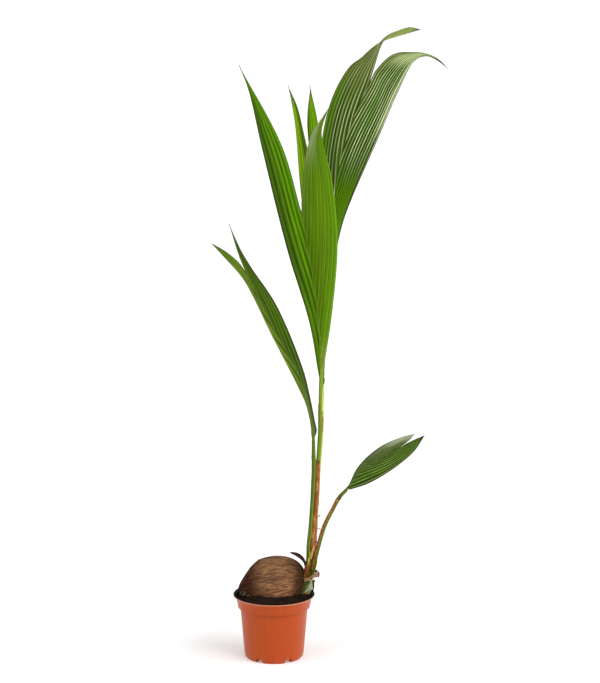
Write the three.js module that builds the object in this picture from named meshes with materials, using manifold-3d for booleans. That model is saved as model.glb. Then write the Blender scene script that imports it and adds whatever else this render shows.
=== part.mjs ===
// A young coconut palm: a sprouted nut lying on the compost of a round nursery pot, its stem
// and five two-lobed, pleated leaves. Millimetres, +Z up. The origin is the middle of the
// pot's underside, and -Y is the front.

import * as THREE from 'three';
import { mergeVertices } from 'three/addons/utils/BufferGeometryUtils.js';
import Module from 'manifold-3d';

const wasm = await Module();
wasm.setup();

// ---------------------------------------------------------------- driving dimensions

const CLEARANCE = 0.35;          // gap kept between neighbouring pieces

const POT_HEIGHT = 150;
const POT_LIP_RADIUS = 95;
const POT_COLLAR_RADIUS = 88.5;  // collar just under the flared lip
const POT_COLLAR_FOOT_RADIUS = 84.7;
const POT_COLLAR_HEIGHT = 29;
const POT_BODY_RADIUS = 79.3;    // body right under the collar
const POT_BASE_RADIUS = 68.6;
const POT_WALL = 1.8;
const POT_FLOOR_TOP = 10.5;
const POT_RECESS_DEPTH = 8;      // how far the floor is raised above the feet
const POT_FOOT_WIDTH = 9;
const POT_PAD_RADIUS = 16;       // flat pad in the middle of the floor
const POT_SEGMENTS = 36;
const NOTCH_COUNT = 6;
const NOTCH_WIDTH = 17;
const NOTCH_HEIGHT = 9.5;
const DRAIN_HOLE_RADIUS = 4;
const DRAIN_HOLE_RING = 46;

const COMPOST_EDGE_HEIGHT = 139;
const COMPOST_MOUND_HEIGHT = 150;

const NUT_CENTRE = new THREE.Vector3(-5, 20, 171);
const NUT_HALF_LENGTH = 82;
const NUT_HALF_DEPTH = 58;
const NUT_HALF_HEIGHT = 61;
const NUT_TILT = 17;             // degrees, shoot end up
const NUT_RIDGE = 0.035;         // how far the three husk ridges stand out, of the radius
const NUT_POINT = 0.36;          // how much the far end narrows

const SHOOT_FOOT = 134;          // the shoot's lowest point, in the compost
const SHOOT_TOP = 222;
const STALK_FOOT = SHOOT_TOP + 2 * CLEARANCE;
const STEM_TOP = 600;            // where the youngest leaf stalks part
const LEAF_FOOT = STEM_TOP + 0.8;
const STUB_THICKNESS = 1.8;      // cut stump of the oldest sheath

const BLADE_START = 0.03;        // where the blade leaves its stalk, of the rachis length
const BLADE_THINNING = 0.4;      // share of its thickness that the blade loses by the tip
const BLADE_MARGIN = 3;          // blade thickness at its edges
const LEAST_THICKNESS = 0.01;    // of the middle of a blade, of the leaf's length
const RACHIS_SETBACK = 0.3;      // the lobes keep this far off the middle of the rachis
const PLEAT_DEPTH = 2.2;
const PLEAT_SHARE = 0.05;        // most that a pleat may take of the lobe's width
const TIP_WIDTH = 2.4;

// ---------------------------------------------------------------- materials

function finish(color, roughness) {
  return new THREE.MeshStandardMaterial({ color, roughness, metalness: 0 });
}

const terracottaPlastic = finish('#c2552b', 0.45);
const compostMatter = finish('#2a1f18', 0.95);
const huskFibre = finish('#7d5a3d', 0.9);
const leafFront = finish('#4f8a1b', 0.45);
const leafBack = finish('#3c6a1e', 0.45);
const leafYoung = finish('#6fa32a', 0.45);
const leafOld = finish('#4a6a1c', 0.45);
const stalkGreen = finish('#6d8f2c', 0.5);
const sheathGreen = finish('#5f7a35', 0.6);
const drySheath = finish('#6b4226', 0.85);

// ---------------------------------------------------------------- general helpers

const point = (x, y, z) => new THREE.Vector3(x, y, z);

function curveThrough(points) {
  return new THREE.CatmullRomCurve3(points, false, 'centripetal');
}

// Drops everything but the places of the vertices and joins those that coincide.
function closedGeometry(geometry) {
  const bare = geometry.clone();
  bare.deleteAttribute('normal');
  bare.deleteAttribute('uv');
  return mergeVertices(bare, 1e-4);
}

function toSolid(geometry) {
  const merged = closedGeometry(geometry);
  const mesh = new wasm.Mesh({
    numProp: 3,
    vertProperties: Float32Array.from(merged.attributes.position.array),
    triVerts: Uint32Array.from(merged.index.array),
  });
  return new wasm.Manifold(mesh);
}

function toGeometry(solid) {
  const mesh = solid.getMesh();
  const geometry = new THREE.BufferGeometry();
  const places = Float32Array.from(mesh.vertProperties);
  const corners = Uint32Array.from(mesh.triVerts);
  geometry.setAttribute('position', new THREE.BufferAttribute(places, 3));
  geometry.setIndex(new THREE.BufferAttribute(corners, 1));
  geometry.computeVertexNormals();
  return geometry;
}

// Cuts a piece back so that it lies against its neighbours with a small gap.
function cutClear(geometry, neighbours) {
  let solid = toSolid(geometry);
  for (const neighbour of neighbours) {
    solid = solid.subtract(toSolid(neighbour));
  }
  return toGeometry(solid);
}

function named(name, geometry, material) {
  const mesh = new THREE.Mesh(geometry, material);
  mesh.name = name;
  return mesh;
}

// A tapering limb: a capped cylinder laid along a curve. size(t) gives its half width and half
// depth in millimetres at t from 0 at the foot to 1 at the tip; across is the way its width lies.
function limbGeometry(curve, size, sides, steps, across = point(1, 0, 0)) {
  const geometry = new THREE.CylinderGeometry(1, 1, 1, sides, steps);
  const place = geometry.attributes.position;
  for (let i = 0; i < place.count; i += 1) {
    const t = place.getY(i) + 0.5;
    const centre = curve.getPointAt(t);
    const along = curve.getTangentAt(t);
    const side = across.clone().addScaledVector(along, -across.dot(along)).normalize();
    const front = along.clone().cross(side);
    const [halfWidth, halfDepth] = size(t);
    centre.addScaledVector(side, place.getX(i) * halfWidth);
    centre.addScaledVector(front, -place.getZ(i) * halfDepth);
    place.setXYZ(i, centre.x, centre.y, centre.z);
  }
  return geometry;
}

const taper = (from, to, t) => from + (to - from) * t;

// ---------------------------------------------------------------- pot

function potGeometry() {
  const wall = POT_WALL;
  const footRadius = POT_BASE_RADIUS - 3;
  const collarBottom = POT_HEIGHT - POT_COLLAR_HEIGHT;
  const profile = [
    [0, 0],
    [POT_PAD_RADIUS, 0],
    [POT_PAD_RADIUS + 2, POT_RECESS_DEPTH],
    [footRadius - POT_FOOT_WIDTH - 1.5, POT_RECESS_DEPTH],
    [footRadius - POT_FOOT_WIDTH, 0],
    [footRadius, 0],
    [POT_BASE_RADIUS, 4],
    [POT_BASE_RADIUS + 1.2, 11],
    [POT_BODY_RADIUS, collarBottom - 1],
    [POT_COLLAR_FOOT_RADIUS, collarBottom],
    [POT_COLLAR_FOOT_RADIUS + 1.6, collarBottom + 12],
    [POT_COLLAR_RADIUS, POT_HEIGHT - 9],
    [POT_LIP_RADIUS, POT_HEIGHT - 2],
    [POT_LIP_RADIUS, POT_HEIGHT],
    [POT_LIP_RADIUS - wall, POT_HEIGHT],
    [POT_COLLAR_RADIUS - wall, POT_HEIGHT - 8],
    [POT_COLLAR_FOOT_RADIUS - wall, collarBottom + 1.5],
    [POT_BODY_RADIUS - wall, collarBottom - 1.5],
    [POT_BASE_RADIUS - wall, POT_FLOOR_TOP + 4],
    [POT_BASE_RADIUS - wall - 4, POT_FLOOR_TOP],
    [0, POT_FLOOR_TOP],
  ];
  let pot = toSolid(latheAbout(profile, POT_SEGMENTS));
  for (let i = 0; i < NOTCH_COUNT; i += 1) {
    const angle = ((i + 0.5) / NOTCH_COUNT) * 2 * Math.PI;
    pot = pot.subtract(toSolid(notchCutter(angle)));
    pot = pot.subtract(toSolid(drainCutter(angle)));
  }
  return toGeometry(pot);
}

// A lathe about +Z from [radius, height] pairs.
function latheAbout(profile, segments) {
  const points = profile.map(([radius, height]) => new THREE.Vector2(radius, height));
  const geometry = new THREE.LatheGeometry(points, segments);
  geometry.rotateX(Math.PI / 2);
  return geometry;
}

// The slot between two feet, angle measured from the front.
function notchCutter(angle) {
  const reach = 30;
  const cutter = new THREE.BoxGeometry(NOTCH_WIDTH, reach, NOTCH_HEIGHT + 1);
  cutter.translate(0, -POT_BASE_RADIUS, NOTCH_HEIGHT / 2 - 0.5);
  cutter.rotateZ(angle);
  return cutter;
}

function drainCutter(angle) {
  const cutter = new THREE.CylinderGeometry(DRAIN_HOLE_RADIUS, DRAIN_HOLE_RADIUS, 40, 10);
  cutter.rotateX(Math.PI / 2);
  cutter.translate(0, -DRAIN_HOLE_RING, 0);
  cutter.rotateZ(angle);
  return cutter;
}

// ---------------------------------------------------------------- nut and compost

// The husk: an egg-shaped, three-ridged body with its far end narrowed. grow swells it evenly.
function nutGeometry(grow) {
  const geometry = new THREE.SphereGeometry(1, 26, 18);
  geometry.rotateZ(Math.PI / 2);
  const place = geometry.attributes.position;
  for (let i = 0; i < place.count; i += 1) {
    const x = place.getX(i);
    const around = Math.atan2(place.getZ(i), place.getY(i));
    const narrowing = 1 - NUT_POINT * THREE.MathUtils.smoothstep(-x, 0.1, 1.1);
    const ridge = 1 + NUT_RIDGE * Math.cos(3 * around + 0.6);
    const girth = narrowing * ridge;
    place.setXYZ(
      i,
      x * (NUT_HALF_LENGTH + grow),
      place.getY(i) * (NUT_HALF_DEPTH * girth + grow),
      place.getZ(i) * (NUT_HALF_HEIGHT * girth + grow),
    );
  }
  geometry.rotateY(-THREE.MathUtils.degToRad(NUT_TILT));
  geometry.translate(NUT_CENTRE.x, NUT_CENTRE.y, NUT_CENTRE.z);
  return geometry;
}

// Height of the compost: low at the wall, mounded round the nut, and a little uneven.
function compostHeight(x, y) {
  const reach = Math.hypot(x, y) / (POT_COLLAR_RADIUS - POT_WALL);
  const mound = 1 - THREE.MathUtils.smoothstep(reach, 0.55, 1);
  const uneven = Math.sin(x * 0.13 + 1) * Math.cos(y * 0.11) * (1 - reach * reach);
  return taper(COMPOST_EDGE_HEIGHT, COMPOST_MOUND_HEIGHT, mound) + uneven;
}

function compostGeometry() {
  const inset = POT_WALL + CLEARANCE + 0.1;
  const collarBottom = POT_HEIGHT - POT_COLLAR_HEIGHT;
  const topRadius = POT_COLLAR_RADIUS - inset - 1;
  const rings = 7;
  const profile = [
    [0, POT_FLOOR_TOP + CLEARANCE],
    [POT_BASE_RADIUS - inset - 4.3, POT_FLOOR_TOP + CLEARANCE],
    [POT_BASE_RADIUS - inset - 0.2, POT_FLOOR_TOP + 4.2],
    [POT_BODY_RADIUS - inset - 0.2, collarBottom - 1.5],
    [POT_COLLAR_FOOT_RADIUS - inset - 0.4, collarBottom + 2.5],
  ];
  for (let ring = rings; ring >= 0; ring -= 1) {
    profile.push([(topRadius * ring) / rings, COMPOST_EDGE_HEIGHT]);
  }
  const geometry = latheAbout(profile, POT_SEGMENTS);
  const place = geometry.attributes.position;
  for (let i = 0; i < place.count; i += 1) {
    if (place.getZ(i) > COMPOST_EDGE_HEIGHT - 1e-3) {
      place.setZ(i, compostHeight(place.getX(i), place.getY(i)));
    }
  }
  return cutClear(geometry, [nutGeometry(CLEARANCE), shootBody(CLEARANCE)]);
}

// ---------------------------------------------------------------- shoot and stalks

const shootCurve = (foot) => curveThrough([
  point(71, 10, foot), point(75, 12, 148), point(80.5, 14, 168),
  point(85, 18, 196), point(88.3, 19, 214), point(88.3, 19, SHOOT_TOP),
]);

function shootSize(t) {
  const bulge = Math.sin(Math.PI * Math.min(1, t / 0.7)) ** 2;
  return [taper(9, 13.5, t) + bulge, taper(9, 12, t) + bulge];
}

// The swollen foot of the shoot, and, swelled evenly by grow, the hollow that it needs.
function shootBody(grow) {
  const size = (t) => shootSize(t).map((half) => half + grow);
  return limbGeometry(shootCurve(SHOOT_FOOT - grow), size, 16, 9);
}

// The cut stump of the oldest sheath: a plate curved round the right front of the shoot.
function sheathStubGeometry() {
  const [startAngle, endAngle] = [-150, 20];
  const [startAt, endAt] = [0.19, 0.5];
  const curve = shootCurve(SHOOT_FOOT);
  const geometry = new THREE.BoxGeometry(1, 1, 1, 12, 5, 1);
  const place = geometry.attributes.position;
  for (let i = 0; i < place.count; i += 1) {
    const angle = THREE.MathUtils.degToRad(taper(startAngle, endAngle, place.getX(i) + 0.5));
    const slant = 0.08 * Math.cos(angle);
    const t = taper(startAt, endAt + slant, place.getY(i) + 0.5);
    const lift = CLEARANCE + STUB_THICKNESS * (place.getZ(i) + 0.5);
    const centre = curve.getPointAt(t);
    const [halfWidth, halfDepth] = shootSize(t);
    place.setXYZ(
      i,
      centre.x + (halfWidth + lift) * Math.cos(angle),
      centre.y + (halfDepth + lift) * Math.sin(angle),
      centre.z,
    );
  }
  return geometry;
}

const stalks = {
  // The stem of nested sheaths that carries the three youngest leaves.
  stem: {
    curve: curveThrough([
      point(88.4, 18.4, STALK_FOOT), point(91.8, 19.6, 274), point(99.5, 20, 370),
      point(103, 19, 440), point(108.4, 12, 530), point(109.3, 7, STEM_TOP - 12),
      point(109.5, 7, STEM_TOP),
    ]),
    size: (t) => {
      const swell = Math.sin(Math.PI * Math.min(1, t / 0.3)) ** 2;
      return [taper(4.8, 6.6, t) + 2 * swell, taper(4.8, 7.8, t) + 2 * swell];
    },
    steps: 16,
  },
  stalk_left: {
    curve: curveThrough([
      point(79.8, 14, STALK_FOOT), point(80.5, 14, 262), point(84.5, 14, 302),
      point(89, 14, 370), point(92, 14, 442), point(92, 14, 513),
    ]),
    size: (t) => [taper(4.1, 4, t), taper(4.1, 3.6, t)],
    steps: 14,
  },
  stalk_right: {
    curve: curveThrough([
      point(96, 10, STALK_FOOT), point(96.4, 10.4, 229), point(99.5, 13.5, 243),
      point(107, 20, 270), point(119, 28, 307),
      point(138, 36, 344), point(154, 41, 372), point(169.5, 45, 388),
    ]),
    size: (t) => [taper(4.8, 4.2, t), taper(4.4, 3.6, t)],
    steps: 14,
  },
};

// Dry, curled ends of old sheaths.
const bracts = {
  bract_left: {
    curve: curveThrough([point(75.4, 9, 204), point(69, 5, 230), point(55, 6, 243), point(38, 9, 247)]),
    size: (t) => [1.2 + 3.6 * Math.sin(Math.PI * Math.min(1, 0.15 + 0.85 * t)), 1.6],
    across: point(0.8, -0.2, 0.6),
  },
  bract_right: {
    curve: curveThrough([point(94.8, 8.9, 188.4), point(101, 6, 194), point(103.5, 4.5, 204)]),
    size: (t) => [taper(3.4, 5, t), 1.7],
    across: point(0.3, 1, 0),
  },
};

// ---------------------------------------------------------------- leaves

// Each leaf has a stalk that widens into the blade at base, a rachis from there to the split,
// and two lobes. A lobe lies between its outer margin, from beside the base to the tip, and an
// inner edge that is the rachis up to the split and a free margin from there to the tip.
const leaves = {
  leaf_front: {
    stalk: [point(108.2, 0.8, LEAF_FOOT), point(108, -3.5, 640)],
    base: point(108.4, -9, 680),
    rachis: [point(103, -24, 794), point(86, -44, 925)],
    split: point(64, -60, 1052),
    lobes: [
      {
        outer: [
          point(105.5, -6, 660), point(101, -12, 690), point(83, -30, 795), point(33, -62, 966),
          point(-24, -94, 1202), point(-51, -108, 1322),
        ],
        inner: [point(21, -84, 1201)],
        tip: point(-70, -118, 1375),
      },
      {
        outer: [
          point(111, -6, 660), point(115, -12, 688), point(135, -34, 833), point(145, -54, 988),
          point(132, -58, 1123), point(109, -44, 1227),
        ],
        inner: [point(66, -62, 1113), point(84, -52, 1217)],
        tip: point(123, -26, 1279),
      },
    ],
    columns: 8,
    stations: 18,
    material: leafFront,
  },
  leaf_back: {
    stalk: [point(111, 13.2, LEAF_FOOT), point(112.5, 16, 640)],
    base: point(114.5, 21, 680),
    rachis: [point(121, 33, 800), point(130, 48, 975), point(150, 67, 1140), point(178, 83, 1240)],
    split: point(219, 96, 1330),
    lobes: [
      {
        outer: [
          point(111, 23, 690), point(106, 42, 810), point(104, 64, 998),
          point(112, 92, 1208), point(137, 108, 1304), point(176, 119, 1370),
          point(201, 120, 1388.5), point(226, 124, 1411), point(250, 129, 1425),
          point(284, 138, 1436),
        ],
        inner: [
          point(232, 106, 1371), point(247, 115, 1416), point(262, 123, 1438),
          point(284, 131, 1449), point(314, 138, 1457),
        ],
        tip: point(338, 140, 1452),
      },
      {
        outer: [
          point(118, 23, 690), point(127, 40, 790), point(141, 58, 925),
          point(159, 72, 1010), point(181, 80, 1070), point(241, 98, 1206),
          point(286.5, 114, 1311), point(324.5, 126, 1381), point(352, 129, 1391.5),
          point(379, 133, 1380.5),
        ],
        inner: [
          point(236, 102, 1362), point(276, 116, 1397), point(322, 127, 1401),
          point(352, 130, 1397.5), point(380, 133, 1384.5),
        ],
        tip: point(403, 136, 1361),
      },
    ],
    columns: 8,
    stations: 20,
    material: leafBack,
  },
  leaf_inner: {
    stalk: [point(110, 7, LEAF_FOOT), point(110, 6.4, 640)],
    base: point(110, 6, 680),
    rachis: [point(109, 8, 842), point(100, 14, 1020)],
    split: point(86, 18, 1150),
    lobes: [
      {
        outer: [point(106, 5, 690), point(92, 4, 900), point(64, 6, 1080), point(50, 10, 1240)],
        inner: [point(72, 17, 1212), point(54, 14, 1284)],
        tip: point(36, 12, 1324),
      },
      {
        outer: [point(114, 7, 690), point(118, 16, 900), point(112, 27, 1120), point(101, 33, 1246)],
        inner: [point(77.5, 27, 1249)],
        tip: point(84, 36, 1323),
      },
    ],
    columns: 6,
    stations: 16,
    material: leafYoung,
  },
  leaf_left: {
    stalk: [],
    base: point(92, 14, 513.9),
    rachis: [point(90, 14, 550), point(64, 14, 657), point(7, 12, 767)],
    split: point(-52, 10, 888),
    lobes: [
      {
        outer: [
          point(93.5, 12, 518), point(99, 9.5, 536), point(94, 5, 560), point(82, -8, 622),
          point(66, -20, 688), point(6, -38, 838), point(-49, -34, 922), point(-73, -26, 962),
        ],
        inner: [point(-76, -4, 947)],
        tip: point(-98, -14, 1016),
      },
      {
        outer: [
          point(88, 17, 520), point(85, 19, 545), point(75, 28, 596), point(61, 34, 627),
          point(1, 52, 748), point(-41, 58, 839), point(-72, 56, 889), point(-112, 50, 934),
        ],
        inner: [point(-81, 26, 928), point(-108, 38, 950)],
        tip: point(-143, 44, 970),
      },
    ],
    columns: 6,
    stations: 18,
    material: leafOld,
  },
  leaf_right: {
    stalk: [],
    base: point(170.1, 45.2, 388.6),
    rachis: [point(206, 55, 431), point(246, 63, 455)],
    split: point(294, 74, 482),
    lobes: [
      {
        outer: [
          point(174, 50, 395), point(197, 70, 437), point(245, 90, 478), point(298, 94, 503),
        ],
        inner: [point(319, 84, 499)],
        tip: point(331, 88, 513),
      },
      {
        outer: [
          point(176, 42, 389), point(214, 32, 404), point(249, 30, 423), point(288, 36, 448),
          point(327, 46, 480),
        ],
        inner: [point(319, 70, 498)],
        tip: point(353, 62, 515),
      },
    ],
    columns: 8,
    stations: 12,
    material: leafFront,
  },
};

function leafLength(leaf) {
  const tips = leaf.lobes.map((lobe) => lobe.tip.distanceTo(leaf.base));
  return Math.max(...tips);
}

// Places along a lobe's two edges, station by station, with one station at the split.
function lobeEdges(leaf, lobe) {
  const rachis = curveThrough([leaf.base, ...leaf.rachis, leaf.split]);
  const margin = curveThrough([leaf.split, ...lobe.inner, lobe.tip]);
  const outer = curveThrough([...lobe.outer, lobe.tip]);
  const share = rachis.getLength() / (rachis.getLength() + margin.getLength());
  const splitAt = Math.round(share * leaf.stations);
  const innerPlace = (k) => (k <= splitAt
    ? rachis.getPointAt(taper(BLADE_START, 1, k / splitAt))
    : margin.getPointAt((k - splitAt) / (leaf.stations - splitAt)));
  const edges = [];
  for (let k = 0; k <= leaf.stations; k += 1) {
    edges.push({ inner: innerPlace(k), outer: outer.getPointAt(k / leaf.stations) });
  }
  return edges;
}

// Directions across, along and square to the lobe at each station, and its width there.
function lobeFrames(edges) {
  const last = edges.length - 1;
  const middles = edges.map(({ inner, outer }) => inner.clone().lerp(outer, 0.5));
  return edges.map((edge, k) => {
    const width = Math.max(edge.outer.distanceTo(edge.inner), TIP_WIDTH);
    const wide = edges[Math.min(k, last - 1)];
    const across = wide.outer.clone().sub(wide.inner).normalize();
    const along = middles[Math.min(k + 1, last)].clone().sub(middles[Math.max(k - 1, 0)]);
    const normal = across.clone().cross(along).normalize();
    return { middle: middles[k], across, normal, width };
  });
}

// One lobe as a thin closed body: pleated across, thickest along its middle.
function lobeGeometry(leaf, lobe) {
  const { columns, stations } = leaf;
  const frames = lobeFrames(lobeEdges(leaf, lobe));
  const full = Math.max(LEAST_THICKNESS * leafLength(leaf), BLADE_MARGIN);
  const geometry = new THREE.BoxGeometry(1, 1, 1, columns, stations, 1);
  const place = geometry.attributes.position;
  for (let i = 0; i < place.count; i += 1) {
    const u = place.getX(i) + 0.5;
    const v = place.getY(i) + 0.5;
    const { middle, across, normal, width } = frames[Math.round(v * stations)];
    const column = Math.round(u * columns);
    const pleat = column === 0 ? 0 : 1 - 2 * (column % 2);
    const fold = pleat * Math.min(PLEAT_DEPTH, PLEAT_SHARE * width);
    const thinning = 1 - BLADE_THINNING * v * v;
    const thickness = taper(full, BLADE_MARGIN, Math.abs(2 * u - 1) ** 1.5) * thinning;
    const at = middle.clone();
    at.addScaledVector(across, (u - 0.5) * width + (1 - u) * RACHIS_SETBACK);
    at.addScaledVector(normal, fold + place.getZ(i) * thickness);
    place.setXYZ(i, at.x, at.y, at.z);
  }
  return geometry;
}

// Stalk and rachis in one tapering rib.
function ribGeometry(leaf) {
  const curve = curveThrough([...leaf.stalk, leaf.base, ...leaf.rachis, leaf.split]);
  const size = (t) => [taper(5.2, 2, Math.sqrt(t)), taper(2.9, 2.3, t)];
  return limbGeometry(curve, size, 6, 12);
}

function leafGeometry(leaf) {
  let solid = toSolid(ribGeometry(leaf));
  for (const lobe of leaf.lobes) {
    solid = solid.add(toSolid(lobeGeometry(leaf, lobe)));
  }
  // The outer shell alone: any pocket sealed between rib and lobes is filled.
  const [shell] = solid.decompose().sort((a, b) => b.volume() - a.volume());
  return toGeometry(shell);
}

// ---------------------------------------------------------------- the whole plant

const palm = new THREE.Group();
palm.add(named('pot', potGeometry(), terracottaPlastic));
palm.add(named('compost', compostGeometry(), compostMatter));
palm.add(named('nut', nutGeometry(0), huskFibre));
const nutHollow = nutGeometry(CLEARANCE);
const shootHollow = shootBody(CLEARANCE);
palm.add(named('shoot_base', cutClear(shootBody(0), [nutHollow]), sheathGreen));
palm.add(named('sheath_stub', cutClear(sheathStubGeometry(), [nutHollow, shootHollow]), sheathGreen));
for (const [name, { curve, size, steps }] of Object.entries(stalks)) {
  palm.add(named(name, limbGeometry(curve, size, 12, steps), stalkGreen));
}
for (const [name, { curve, size, across }] of Object.entries(bracts)) {
  palm.add(named(name, limbGeometry(curve, size, 8, 8, across), drySheath));
}
for (const [name, leaf] of Object.entries(leaves)) {
  palm.add(named(name, leafGeometry(leaf), leaf.material));
}

export default palm;
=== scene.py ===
"""A young coconut palm in a nursery pot: the finished surfaces round its solids, its stage and camera.

Lengths are millimetres unless a name or comment says otherwise, in the plant's own frame: +Z up,
-Y to the front, the origin in the middle of the pot's underside. Blender's own sizes are metres.
Round a stalk, angles are degrees: 0 is its right side, 90 its back and -90 its front.
"""

import math
from contextlib import contextmanager

import bpy
import numpy as np
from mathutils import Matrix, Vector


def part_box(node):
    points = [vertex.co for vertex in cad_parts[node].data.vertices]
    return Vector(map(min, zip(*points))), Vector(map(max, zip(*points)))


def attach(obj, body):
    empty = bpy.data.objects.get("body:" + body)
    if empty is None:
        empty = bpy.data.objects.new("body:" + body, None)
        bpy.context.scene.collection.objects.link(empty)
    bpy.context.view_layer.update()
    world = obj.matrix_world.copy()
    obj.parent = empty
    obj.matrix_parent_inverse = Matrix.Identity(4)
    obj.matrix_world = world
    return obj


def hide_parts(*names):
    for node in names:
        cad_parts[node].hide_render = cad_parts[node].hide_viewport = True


bl_info = {
    "name": "Potted coconut palm seedling",
    "version": (1, 0, 0),
    "blender": (4, 5, 0),
    "location": "3D View > Sidebar > Palm",
    "description": "Builds the finished surfaces of a potted coconut palm seedling",
    "category": "Object",
}

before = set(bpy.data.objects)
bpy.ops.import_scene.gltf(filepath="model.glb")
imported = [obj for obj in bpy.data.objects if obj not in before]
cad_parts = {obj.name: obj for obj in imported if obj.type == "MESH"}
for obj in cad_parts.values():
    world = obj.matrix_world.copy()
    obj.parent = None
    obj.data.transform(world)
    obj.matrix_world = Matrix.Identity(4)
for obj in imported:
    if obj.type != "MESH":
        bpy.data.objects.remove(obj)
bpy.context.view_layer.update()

MM = 0.001

# ------------------------------------------------------------------ places and sizes

POT_LIP_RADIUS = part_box("pot")[1].x / MM
POT_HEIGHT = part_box("pot")[1].z / MM
POT_COLLAR_RADIUS = POT_LIP_RADIUS - 6.5
POT_COLLAR_FOOT_RADIUS = POT_LIP_RADIUS - 10.3
POT_COLLAR_HEIGHT = 29
UNDER_COLLAR = 119.5  # height of the painted shade under the collar
POT_BODY_RADIUS = POT_LIP_RADIUS - 15.7
POT_BASE_RADIUS = POT_LIP_RADIUS - 26.4
POT_WALL = 1.8
POT_FLOOR = 10.5
POT_RECESS = 8
POT_STEPS = 100  # height above which the outside has steps that face up
NOTCHES = 6
NOTCH_WIDTH = 17
NOTCH_HEIGHT = 9.5
DRAIN_HOLE_RADIUS = 4
DRAIN_HOLE_RING = 46

COMPOST_EDGE = 139
COMPOST_MOUND = 150
COMPOST_GAP = 1.2  # between the fill and the wall
HEAP_X, HEAP_Y, HEAP_HEIGHT, HEAP_SPREAD = 78, -2, 8, 260  # the heap at the shoot's foot
COMPOST_SIDE = ((123, 80.5), (118.5, 75.5), (16, 65.5), (12, 61))  # height and radius of its rings

NUT_CENTRE = np.array([-5, 20, 171])
NUT_HALVES = np.array([82, 58, 61])
NUT_TILT = math.radians(17)
NUT_RIDGE = 0.035
NUT_POINT = 0.36
NUT_FIBRE_TURN = math.radians(12)  # the fibres run flatter than the nut lies

SHOOT = [(66.5, 8, 134), (70.5, 8, 148), (75.5, 9.5, 168), (82, 15, 196), (87.5, 19, 214), (88.3, 19, 222)]
STALKS = {
    "stem": [
        (80, 7, 180), (84.5, 12, 200), (88.4, 18.4, 222.7), (91.8, 19.6, 274), (99.5, 20, 370),
        (103, 19, 440), (108.4, 12, 530), (109.3, 7, 588), (109.5, 7, 600),
    ],
    "stalk_left": [
        (70.5, 7, 182), (74.5, 10, 202), (79.2, 14, 222.7), (80.3, 14, 262), (84.5, 14, 302), (89, 14, 370),
        (92.6, 14, 442), (92, 14, 513),
    ],
    "stalk_right": [
        (86, 4, 184), (91.5, 5.5, 204), (96, 10, 222.7), (96.4, 10.4, 229), (99.5, 13.5, 243),
        (107, 20, 270), (119, 28, 307), (138, 36, 344), (154, 41, 372), (169.5, 45, 388),
    ],
}

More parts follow.
